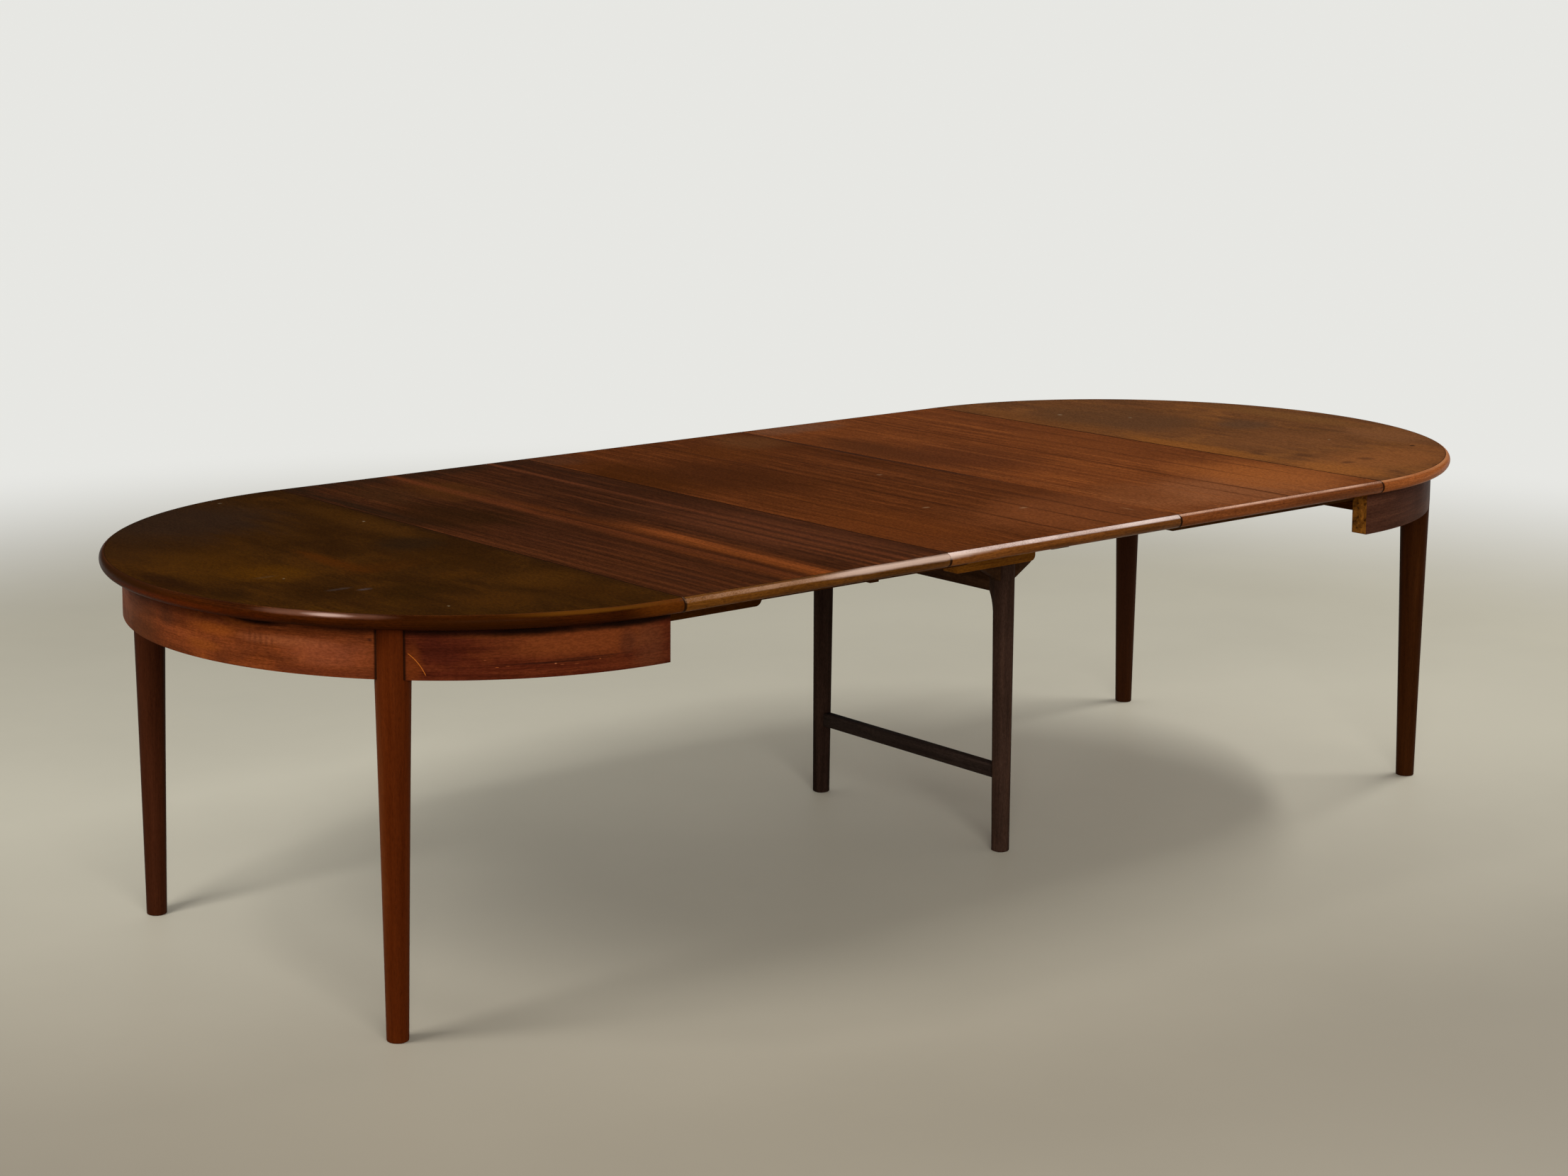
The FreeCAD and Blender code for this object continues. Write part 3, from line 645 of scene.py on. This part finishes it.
# The edging: olive to orange below, and pale or bright along the upper round with wear and a painted highlight
lipShine = dict(away=0.645, shine=0.03, smoothest=0.3, roughest=0.4, bump=0.35)
leftLipWood = makeWood("leftLipWood", dict(
    lipShine, grain="left", seed=3.3, tones=((18, 3.6, 0.4), (28, 5.8, 0.6), (44, 9, 0.8)), shine=0.01,
    wearAndHighlight=(0.76, 0.985, 0, 130, 34, 3), wearAndHighlightAmount=0.5, seams=[(-seamX, lipSeam)], patches=[
        (-60, 712, 260, 11, 0.85, 70, 11, 1), (-1010, 717.5, 100, 30, 0.8, 98, 25, 2.4)], rubsAndHighlights=[
        # Rubs: a darker upper nose at the left end, a painted highlight along the upper edge near the seam, a darker
        # lower nose, and a painted highlight in the middle of the round
        (140, 724, 300, 9, 0.9, 20, 6, 1), (-840, 727.2, 170, 4.2, 0.7, 110, 36, 3),
        (-660, 716, 160, 20, 0.65, 22, 5.6, 0.4), (-395, 726.2, 120, 5, 0.26, 300, 135, 85),
        (-410, 726.2, 45, 3, 0.55, 540, 370, 310)]))
lipSeams = [(x, lipSeam) for x in (-seamX, -leafSeamX, leafSeamX, seamX)]
leafLipLooks = [
    dict(tones=((80, 27.5, 3.6), (130, 45, 6), (190, 69, 11)), wearAndHighlight=(0.18, 0.7, -0.4, 400, 220, 130),
         wearAndHighlightAmount=0.85),
    dict(tones=((112, 36.6, 5.9), (165, 53.1, 9.4), (224, 75.5, 15.3)), wearAndHighlight=(0.4, 0.9, -1.2, 860, 670, 600),
         wearAndHighlightAmount=1),
    dict(tones=((142, 40.1, 9.4), (195, 54.3, 13), (254, 75.5, 20.1)), wearAndHighlight=(0.6, 0.9, -0.6, 760, 430, 290),
         wearAndHighlightAmount=0.9)]
# The near lips get one more painted highlight in the middle; the far lips a weaker band of wear and painted highlight
rowLooks = {"near": ("leafLipWood", 4.6, {"rubsAndHighlights": [(-410, 724.5, 240, 6, 0.75, 700, 500, 400)]}),
            "far": ("farLipWood", 9.6, {"wearAndHighlightAmount": 0.3})}
leafLipWoods = {}
for row, (label, seed, changes) in rowLooks.items():
    leafLipWoods[row] = []
    for i, lipLook in enumerate(leafLipLooks):
        look = {**lipShine, **lipLook, **changes, "grain": "x", "seed": seed + i, "pores": 0.9, "seams": lipSeams}
        leafLipWoods[row].append(makeWood(label + str(i + 1), look))
rightLipWood = makeWood("rightLipWood", dict(
    lipShine, grain="right", seed=6.1, seams=[(seamX, lipSeam)],
    tones=((269, 76.2, 17.9), (358, 104.2, 25.8), (437, 140, 37)), shine=0.012,
    wearAndHighlight=(0.62, 0.985, -0.6, 560, 240, 98), wearAndHighlightAmount=0.75))

# The aprons, with dark lines where they meet the legs and a painted shadow line under the lip
apronShine = dict(away=0.61, shine=0.012, bump=0.2, legJoint=0.9, stretch=18)
leftApronWood = makeWood("leftApronWood", dict(
    apronShine, grain="left", seed=8.8, tones=((112, 25.4, 6), (155, 35.3, 8.4), (194, 46.4, 12)), clouds=0.6,
    fineLines=0.6, cloudSize=14, cloud=(95, 21.5, 6.9), glow=(232, 55, 10.3), patches=[
        # (120, 650) darkens the far-left end of the apron, a painted shade
        (120, 650, 120, 100, 0.7, 77, 20.6, 4.7), (-10, 672, 35, 22, 0.7, 65, 18.1, 6),
        (-147, 672, 70, 14, 0.7, 232, 55, 7.7), (-120, 640, 50, 12, 0.6, 206, 50.7, 7.7),
        # (-330, 668) and (-400, 655) are paler pinkish patches of painted sheen
        (-210, 690, 50, 12, 0.6, 224, 53.3, 8.6), (-330, 668, 120, 12, 0.7, 249, 70.5, 23.2),
        (-400, 655, 100, 35, 0.6, 235, 60, 23), (-400, 622, 130, 12, 0.6, 107, 22.4, 7.7),
        # The patches at heights 696.5 to 699.5 are a painted shadow under the lip
        (-460, 648, 40, 20, 0.5, 202, 46.4, 12.9), (-100, 699.5, 240, 4.5, 0.95, 10, 3.4, 1.7),
        (-250, 697, 80, 9, 0.95, 10, 3.4, 1.7), (-430, 696.5, 130, 11, 0.8, 39, 9.5, 3.4),
        (-471, 680, 6, 4, 0.7, 26, 7.7, 5.2),
        *[(-236 - 12 * i, 668 - 2 * i, 3.5, 15, 0.3, 60, 14.6, 6) for i in range(5)]]))
leftSideApronWood = makeWood("leftSideApronWood", dict(
    apronShine, grain="left", seed=12.8, tones=((55, 9.3, 3.8), (78, 14, 5.1), (111, 22.3, 7.2)), clouds=0.6,
    cloudSize=12, cloud=(58, 10.1, 4.8), glow=(117, 24.4, 6.4), patches=[
        (-830, 672, 200, 36, 0.85, 180, 42, 10), (-700, 688, 120, 8, 0.7, 159, 36, 7.4),
        (-545, 640, 20, 50, 0.7, 138, 28.6, 5.3), (-975, 650, 45, 55, 0.6, 117, 33.9, 12.7),
        (-930, 660, 20, 30, 0.5, 53, 15.9, 8.5), (-790, 639.5, 150, 2.2, 0.7, 22, 6.4, 3.7),
        # The patches at heights 694.5 to 696 are a painted shadow under the lip
        (-860, 643, 90, 2, 0.6, 26, 7.4, 4.2), (-580, 696, 110, 12, 0.9, 14, 4.2, 2),
        (-740, 694.5, 170, 13.5, 0.97, 8, 2.6, 1.4), (-940, 695.2, 160, 12, 0.97, 9, 3.6, 2.2),
        (-691, 635.5, 4, 0.7, 0.9, 424, 106, 23.3), (-710, 636.5, 6, 0.5, 0.7, 297, 74.2, 21.2),
        (-794, 637, 3, 0.9, 0.9, 530, 180.2, 74.2), (-806, 634.5, 5, 0.5, 0.7, 297, 79.5, 27.6),
        (-832, 633.5, 6, 0.5, 0.7, 339, 90.1, 27.6), (-876, 638.5, 2.4, 0.7, 0.8, 382, 106, 33.9),
        (-670, 648, 3, 0.8, 0.8, 297, 74.2, 23.3)], scratch=(-487.1, 585.9, 89.4, 622, 661, 445, 121.9, 15.9)))
rightApronWood = makeWood("rightApronWood", dict(
    apronShine, grain="right", seed=10.4, tones=((60, 21.6, 12), (83, 30.6, 17.4), (108, 40.8, 22.8)), clouds=0.4))
apronCoreWood = makeWood("apronCoreWood", dict(
    grain="x", seed=14.1, tones=((50, 18, 3), (195, 72, 9), (360, 135, 18)), streakSize=95, stretch=1.6, clouds=0.5,
    cloudSize=45, cloud=(45, 18, 6), smoothest=0.7, roughest=0.85, shine=0.05, bump=0.8))
legLook = dict(
    grain="z", seed=15.5, tones=((64, 11, 1.5), (76, 13.5, 2), (88, 16.5, 2.8)), stretch=30,
    fineLines=0.25, cloudSize=7, smoothest=0.36, roughest=0.46, mottle=0.25)
# The near left leg is painted paler on its left side, a painted light
legWood = makeWood("legWood", dict(legLook, patches=[
    (-1345, -300, -395, 18, 500, 30, 0.8, 125, 32, 7), (-1300, -300, -428, 16, 500, 20, 0.5, 86, 18, 3.4)]))
# The far left leg is painted darker on its right side, a painted shade
farLegWood = makeWood("farLegWood", dict(
    legLook, seed=17.3, tones=((36, 9.2, 3.4), (45, 11.8, 4.4), (55, 14.5, 5.6)),
    patches=[(-1292, -300, 398, 20, 600, 30, 0.7, 24, 7.5, 2.4)]))
# The near right leg is painted paler on its right side and darker on its left, painted light and shade
darkLegWood = makeWood("darkLegWood", dict(
    legLook, seed=16.6, tones=((30, 8.2, 1.8), (42, 11.8, 2.6), (56, 16.5, 3.8)), patches=[
        (1345, -300, -432, 20, 600, 20, 0.8, 110, 33, 5), (1290, -300, -395, 18, 600, 18, 0.6, 26, 6.2, 1.2),
        (1319, -400, 413, 60, 700, 60, 0.7, 34, 12.5, 7)]))
frameLook = dict(
    grain="z", seed=18.2, streakSize=70, stretch=34,
    fineLines=0.35, clouds=0.5, cloudSize=8, smoothest=0.42, roughest=0.55)
frameWood = makeWood("frameWood", dict(
    frameLook, tones=((34, 18, 12.5), (50, 26, 18), (68, 35, 23)),
    patches=[(200, -690, -400, 1000, 90, 1000, 0.9, 75, 39, 13)]))
farFrameWood = makeWood("farFrameWood", dict(
    frameLook, seed=20.6, tones=((18, 9.5, 6.6), (27, 14, 9.8), (37, 19, 12.8))))
crossFrameWood = makeWood("crossFrameWood", dict(
    frameLook, grain="y", seed=19.9, tones=((34, 15, 7), (48, 21.5, 10), (66, 30, 14))))
stretcherWood = makeWood("stretcherWood", dict(
    frameLook, grain="y", seed=22.3, tones=((20, 13, 10.5), (29, 19, 15), (40, 25.5, 20))))
bearerWood = makeWood("bearerWood", dict(
    grain="x", seed=21.7, tones=((156, 55.2, 6), (228, 80.4, 8.9), (288, 103.2, 10.8)), clouds=0.4))
runnerLook = dict(
    grain="x", seed=23.4, tones=((36, 10, 0.4), (52, 14.5, 0.6), (70, 20.5, 1)), stretch=26, shine=0.008)
runnerWood = makeWood("runnerWood", runnerLook)
crossRunnerWood = makeWood("crossRunnerWood", dict(runnerLook, grain="y", seed=25.2))
battenWood = makeWood("battenWood", dict(
    grain="x", seed=27.1, tones=((36, 11.5, 0.7), (52, 16.5, 1), (70, 23, 1.8)), shine=0.012))
keyWood = makeWood("keyWood", dict(
    grain="x", seed=29.5, tones=((200, 120, 55), (300, 190, 90), (400, 270, 140)), streakSize=90, stretch=20,
    clouds=0.2, shine=0.2))


# The screws, of dulled steel
steelLook = {"clean": (0.42, 0.40, 0.36), "tarnish": (0.20, 0.15, 0.10), "scale": 240, "tarnished": (0.4, 0.7),
             "roughness": (0.3, 0.7, 0.3, 0.6), "bump": 0.2, "bumpDistance": 0.0002}


def makeSteel(name):
    look = steelLook
    material, tree, shader = startMaterial(name)
    tarnish = noise(tree, objectPlace(tree), look["scale"], detail=4, roughness=0.6)
    feed(tree, shader, {
        "Base Color": mixColours(tree, remap(tree, tarnish, *look["tarnished"]), look["clean"], look["tarnish"]),
        "Roughness": remap(tree, tarnish, *look["roughness"]), "Metallic": 1,
        "Normal": bumped(tree, tarnish, look["bump"], look["bumpDistance"])})
    return material


screwSteel = makeSteel("screwSteel")
print("materials made")


# The solid edging: flat on top under the veneer, with a full round nose outside
def noseOutline(outward):
    middle = (underside + tableTop) / 2
    half = (tableTop - underside) / 2
    depth = lipSizes["noseDepth"]
    radius = (half * half + depth * depth) / (2 * depth)
    centre = topRadius - radius
    sweep = math.asin(half / radius)
    steps = lipSizes["noseSteps"]
    turns = [sweep * (2 * i / steps - 1) for i in range(steps + 1)]
    nose = [(centre + radius * math.cos(turn), middle + radius * math.sin(turn)) for turn in turns]
    outline = [(panelRadius, underside)] + nose + [(panelRadius, tableTop)]
    return [outward * away + zAxis * height for away, height in outline]


def onTop(place, normal):
    return normal.z > 0.999


# The nose edge at a seam is eased, so that a dark line shows between two lips
def easeLipEnd(lip, x):
    noseStart = topRadius - lipSizes["noseDepth"] - tiny

    def onNose(a, b):
        return all(abs(p.x - x) < tiny and abs(p.y) > noseStart for p in (a, b))
    easeEdges(lip, lipSizes["endEase"], onNose)


def makeRoundLip(side, lipWood, topWood):
    way = halves[side]
    seam = Vector((way * seamX, 0, 0))
    points = [seam + p for p in noseOutline(Vector((0, -way, 0)))]
    lip = drawOutline(f"{side}RoundLip", points)
    spinOutline(seam, math.pi, lipSizes["spinSteps"])
    easeLipEnd(lip, seam.x)
    smooth(lip)
    paint(lip, lipWood, topWood)
    paintFaces(lip, 1, onTop)
    seat(lip, f"{side}_half", "edging", f"lip_{side}")


def makeLeafLips(number, topWood):
    for row, way in rows.items():
        node = f"leaf_{number}_lip_{row}"
        low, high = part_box(node)
        points = [Vector((low.x, 0, 0)) + p for p in noseOutline(Vector((0, way, 0)))]
        lip = drawOutline(f"leaf{number}{row.title()}Lip", points)
        pushOutline(Vector((high.x - low.x, 0, 0)))
        easeLipEnd(lip, low.x)
        easeLipEnd(lip, high.x)
        smooth(lip)
        paint(lip, leafLipWoods[row][number - 1], topWood)
        paintFaces(lip, 1, onTop)
        seat(lip, f"leaf_{number}", "edging", node)


makeRoundLip("left", leftLipWood, leftTopWood)
makeRoundLip("right", rightLipWood, rightTopWood)
for number in (1, 2, 3):
    makeLeafLips(number, leafWoods[number - 1])
print("lips made")

# The panels: half discs and flat leaves, with the arris taken off along each seam
panelSizes = {"seamEase": 0.0007, "discSteps": 288}


def easeSeamEdge(panel, *seams):
    def alongSeam(a, b):
        return all(p.z > tableTop - tiny for p in (a, b)) and any(
            abs(a.x - x) < tiny and abs(b.x - x) < tiny for x in seams)
    easeEdges(panel, panelSizes["seamEase"], alongSeam, 2)


def makeHalfPanel(side, wood):
    way = halves[side]
    clearSelection()
    bpy.ops.mesh.primitive_circle_add(vertices=panelSizes["discSteps"], radius=panelRadius, fill_type="NGON",
                                      location=(way * seamX, 0, underside))
    panel = bpy.context.object
    panel.name = panel.data.name = f"{side}Panel"
    bpy.ops.object.transform_apply(location=True)
    editAll()
    bpy.ops.mesh.bisect(plane_co=(way * seamX, 0, 0), plane_no=(way, 0, 0), clear_inner=True, use_fill=False)
    selectAll()
    bpy.ops.mesh.delete(type="ONLY_FACE")
    selectAll()
    bpy.ops.mesh.edge_face_add()
    pushOutline(zAxis * (tableTop - underside))
    easeSeamEdge(panel, way * seamX)
    smooth(panel)
    paint(panel, wood)
    seat(panel, f"{side}_half", "half_top", f"top_{side}")


def makeLeafPanel(number, slot, wood):
    node = f"leaf_{number}"
    low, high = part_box(node)
    clearSelection()
    bpy.ops.mesh.primitive_cube_add(size=1, location=(low + high) / 2, scale=high - low)
    panel = bpy.context.object
    panel.name = panel.data.name = f"leaf{number}Panel"
    bpy.ops.object.transform_apply(location=True, scale=True)
    easeSeamEdge(panel, low.x, high.x)
    smooth(panel)
    paint(panel, wood)
    seat(panel, node, slot, node)


makeHalfPanel("left", leftTopWood)
makeHalfPanel("right", rightTopWood)
for number, slot in ((1, "leaf_dark"), (2, "leaf_red"), (3, "leaf_red")):
    makeLeafPanel(number, slot, leafWoods[number - 1])
print("panels made")

# The turned legs: straight behind the apron, then a slightly hollow taper to a rounded foot
legSizes = {"footRadius": 0.019, "footRound": 0.0025, "roundSteps": 4, "hollow": 0.0006, "taperSteps": 14,
            "spinSteps": 72}


def makeTurnedLeg(side, row, wood):
    node = f"leg_{side}_{row}"
    low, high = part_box(node)
    axis = Vector(((low.x + high.x) / 2, (low.y + high.y) / 2, 0))
    topRound = (high.x - low.x) / 2
    foot, ease = legSizes["footRadius"], legSizes["footRound"]
    profile = [(0, 0)]
    for i in range(legSizes["roundSteps"] + 1):
        turn = math.pi / 2 * i / legSizes["roundSteps"]
        profile.append((foot - ease + ease * math.sin(turn), ease - ease * math.cos(turn)))
    steps = legSizes["taperSteps"]
    for i in range(1, steps + 1):
        share = i / steps
        bow = 4 * legSizes["hollow"] * share * (1 - share)
        profile.append((foot + (topRound - foot) * share - bow, ease + (apronBottom - ease) * share))
    profile += [(topRound, underside), (0, underside)]
    points = [axis + Vector((away, 0, height)) for away, height in profile]
    leg = drawOutline(f"{side}{row.title()}Leg", points, filled=False)
    spinOutline(axis, 2 * math.pi, legSizes["spinSteps"])
    smooth(leg)
    paint(leg, wood)
    seat(leg, f"{side}_half", "leg_wood", node)


makeTurnedLeg("left", "near", legWood)
makeTurnedLeg("left", "far", farLegWood)
makeTurnedLeg("right", "near", darkLegWood)
makeTurnedLeg("right", "far", darkLegWood)
print("legs made")


# The rest keeps its solid's shape. How much the edges of each kind are eased, and its slot:
kinds = {"apron": (0.0008, "apron_wood"), "board": (0.001, "runner_wood"), "key": (0.0004, "key_wood"),
         "bearer": (0.0015, "bearer_wood"), "frame": (0.001, "frame_wood"), "rail": (0.0015, "frame_wood"),
         "stretcher": (0.0008, "frame_wood")}


def dress(node, name, kind, body, *woods):
    ease, slot = kinds[kind]
    piece = easedCopy(node, name, ease)
    paint(piece, *woods)
    seat(piece, body, slot, node)
    return piece


apronWoods = {"left": (leftApronWood, leftSideApronWood), "right": (rightApronWood, rightApronWood)}
for side, way in halves.items():
    endWood, sideWood = apronWoods[side]
    half, slide = f"{side}_half", f"{side}_slide"
    dress(f"apron_{side}_end", f"{side}EndApron", "apron", half, endWood)
    for row in rows:
        part = f"{side}{row.title()}"
        apron = dress(f"apron_{side}_{row}", f"{part}Apron", "apron", half, sideWood, apronCoreWood)
        paintFaces(apron, 1, lambda place, normal: normal.x * -way > 0.99)  # the sawn end shows its core
        dress(f"runner_{side}_{row}", f"{part}Runner", "board", half, runnerWood)
        dress(f"slide_{side}_{row}", f"{part}Slide", "board", slide, runnerWood)
    dress(f"tie_{side}", f"{side}Tie", "board", half, crossRunnerWood)
    dress(f"keys_{side}_slide", f"{side}SlideKeys", "key", slide, keyWood)
dress("keys_right_runner", "rightRunnerKeys", "key", "right_half", keyWood)
dress("keys_centre", "centreKeys", "key", "centre_frame", keyWood)
for number in (1, 2, 3):
    dress(f"leaf_{number}_battens", f"leaf{number}Battens", "board", f"leaf_{number}", battenWood)
legWoods = {"near": frameWood, "far": farFrameWood}
for row in rows:
    dress(f"centre_runner_{row}", f"centreRunner{row.title()}", "board", "centre_frame", runnerWood)
    dress(f"bearer_{row}", f"{row}Bearer", "bearer", "centre_frame", bearerWood)
    dress(f"centre_leg_{row}", f"{row}CentreLeg", "frame", "centre_frame", legWoods[row])
for node, name, kind, wood in (
        ("cross_board_left", "leftCrossBoard", "board", crossRunnerWood),
        ("cross_board_right", "rightCrossBoard", "board", crossRunnerWood),
        ("end_batten", "endBatten", "board", crossRunnerWood), ("cross_rail", "crossRail", "rail", crossFrameWood),
        ("stretcher", "stretcher", "stretcher", stretcherWood), ("gussets", "gussets", "frame", crossFrameWood)):
    dress(node, name, kind, "centre_frame", wood)
for node in ("screws_left", "screws_right", "frame_screws"):
    paint(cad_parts[node], screwSteel)
for node in ("tenons_left", "tenons_right"):
    paint(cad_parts[node], keyWood)
print("underframe dressed")

# Plain floor, paler towards the far side and almost white a few metres out. The paler far side, a paler oval under
# the table and a darker left side are painted light and shade; the oval lifts the table's shadow.
floorLook = {
    "size": 3000, "front": (0.345, 0.303, 0.232), "back": (0.710, 0.668, 0.535), "slant": 0.55,
    "spread": (-1.75, 0.75), "left": (-0.6, -2.6), "leftTint": (0.74, 0.74, 0.74), "under": (1.45, 0.45),
    "underShape": (0.5, 1, 0), "underTint": (1.27, 1.27, 1.27), "far": (0.80, 0.80, 0.77), "fade": (2.7, 5.2),
    "mottleScale": 0.8, "mottled": (0.3, 0.7), "mottle": 0.14, "mottleTint": (0.6, 0.6, 0.6),
    "roughness": 0.42, "shine": 0.3}


# One for a ray that the background is shown to
def backgroundRays(tree):
    rays = addNode(tree, "LightPath", {}).outputs
    seen = maths(tree, "MAXIMUM", rays["Is Camera Ray"], rays["Is Glossy Ray"])
    return maths(tree, "MAXIMUM", seen, rays["Is Transmission Ray"])


def makeFloor():
    look = floorLook
    clearSelection()
    bpy.ops.mesh.primitive_plane_add(size=look["size"])
    floor = bpy.context.object
    floor.name = "floor"
    material, tree, shader = startMaterial("paleFloor")
    place = objectPlace(tree)
    soft = noise(tree, place, look["mottleScale"], detail=5, roughness=0.6)
    parts = split(tree, place)
    backward = plus(tree, parts[1], times(tree, parts[0], look["slant"]))
    colour = mixColours(tree, remap(tree, backward, *look["spread"]), look["front"], look["back"])
    oval = lengthOf(tree, stretched(tree, place, look["underShape"]))
    for share, tint in ((remap(tree, parts[0], *look["left"]), look["leftTint"]),
                        (remap(tree, oval, *look["under"]), look["underTint"]),
                        (remap(tree, soft, *look["mottled"], 0, look["mottle"]), look["mottleTint"])):
        colour = mixColours(tree, share, colour, tint, "MULTIPLY")
    feed(tree, shader, {"Base Color": colour, "Roughness": look["roughness"], "Specular IOR Level": look["shine"]})
    glow = addNode(tree, "Emission", {"Color": look["far"]})
    share = times(tree, remap(tree, lengthOf(tree, place), *look["fade"]), backgroundRays(tree))
    blend = addNode(tree, "MixShader", {0: share, 1: shader.outputs[0], 2: glow.outputs[0]})
    feed(tree, tree.nodes["Material Output"], {"Surface": blend.outputs[0]})
    paint(floor, material)


# Lamps: place, the point it faces, the way its long side runs, size and watts
lampLook = {
    "rightKey": ((3.70, -0.70, 4.30), (0.0, 0.0, 0.7), (0.77, 0.63, 0), (2.6, 0.35), 85),
    "leftLow": ((-2.96, -0.07, 2.10), (-0.2, 0.0, 0.6), (0, 1, 0), (0.9, 0.9), 34),
    "leftHigh": ((-2.70, 0.30, 3.50), (-1.2, 0.0, 0.7), (0, 1, 0), (0.35, 0.35), 12),
    "frontFill": ((-2.60, -3.90, 2.10), (-0.6, 0.0, 0.5), (0.89, -0.46, 0), (2.2, 1.6), 95)}
skyLook = {"even": 0.42, "low": 0.06, "high": 0.64, "from": 0.25, "to": 0.85, "colour": (1.0, 0.99, 0.97)}


def makeLamps():
    for name, (place, target, run, size, power) in lampLook.items():
        clearSelection()
        bpy.ops.object.light_add(type="AREA", location=place)
        lamp = bpy.context.object
        lamp.name = name
        back = (Vector(place) - Vector(target)).normalized()  # a lamp shines down its own -Z
        high = back.cross(Vector(run)).normalized()
        lamp.rotation_euler = Matrix((high.cross(back), high, back)).transposed().to_euler()
        lamp.data.shape = "RECTANGLE"
        lamp.data.size, lamp.data.size_y = size
        lamp.data.energy = power
        lamp.visible_camera = False


# The sky lights evenly. In reflections it is dim along the horizon and bright overhead, as a lit ceiling is.
def makeSky():
    world = bpy.data.worlds.new("studioSky")
    scene.world = world
    world.use_nodes = True
    tree = world.node_tree
    way = addNode(tree, "TexCoord", {}).outputs["Generated"]
    height = split(tree, way)[2]
    shown = remap(tree, height, skyLook["from"], skyLook["to"], skyLook["low"], skyLook["high"])
    level = addNode(tree, "Mix", {0: backgroundRays(tree), 2: skyLook["even"], 3: shown}).outputs[0]
    feed(tree, tree.nodes["Background"], {"Strength": level, "Color": skyLook["colour"]})


# The camera stands where the photograph was taken from
cameraLook = {"place": (-3.7920, -4.2354, 1.7281), "yaw": 36.845, "pitch": 8.304, "roll": -0.22,
              "lens": 65.93, "shiftX": 0.1270, "shiftY": -0.1190}


def makeCamera():
    yaw, pitch, roll = (math.radians(cameraLook[name]) for name in ("yaw", "pitch", "roll"))
    ahead = Vector((math.sin(yaw) * math.cos(pitch), math.cos(yaw) * math.cos(pitch), -math.sin(pitch)))
    across = Vector((math.cos(yaw), -math.sin(yaw), 0))
    upward = across.cross(ahead)
    right = math.cos(roll) * across + math.sin(roll) * upward
    up = math.cos(roll) * upward - math.sin(roll) * across
    turned = Matrix((right, up, -ahead)).transposed().to_4x4()
    clearSelection()
    bpy.ops.object.camera_add()
    camera = bpy.context.object
    camera.matrix_world = Matrix.Translation(cameraLook["place"]) @ turned
    camera.data.lens = cameraLook["lens"]
    camera.data.shift_x, camera.data.shift_y = cameraLook["shiftX"], cameraLook["shiftY"]
    scene.camera = camera


makeFloor()
makeLamps()
makeSky()
makeCamera()
print("floor, lamps and camera set")
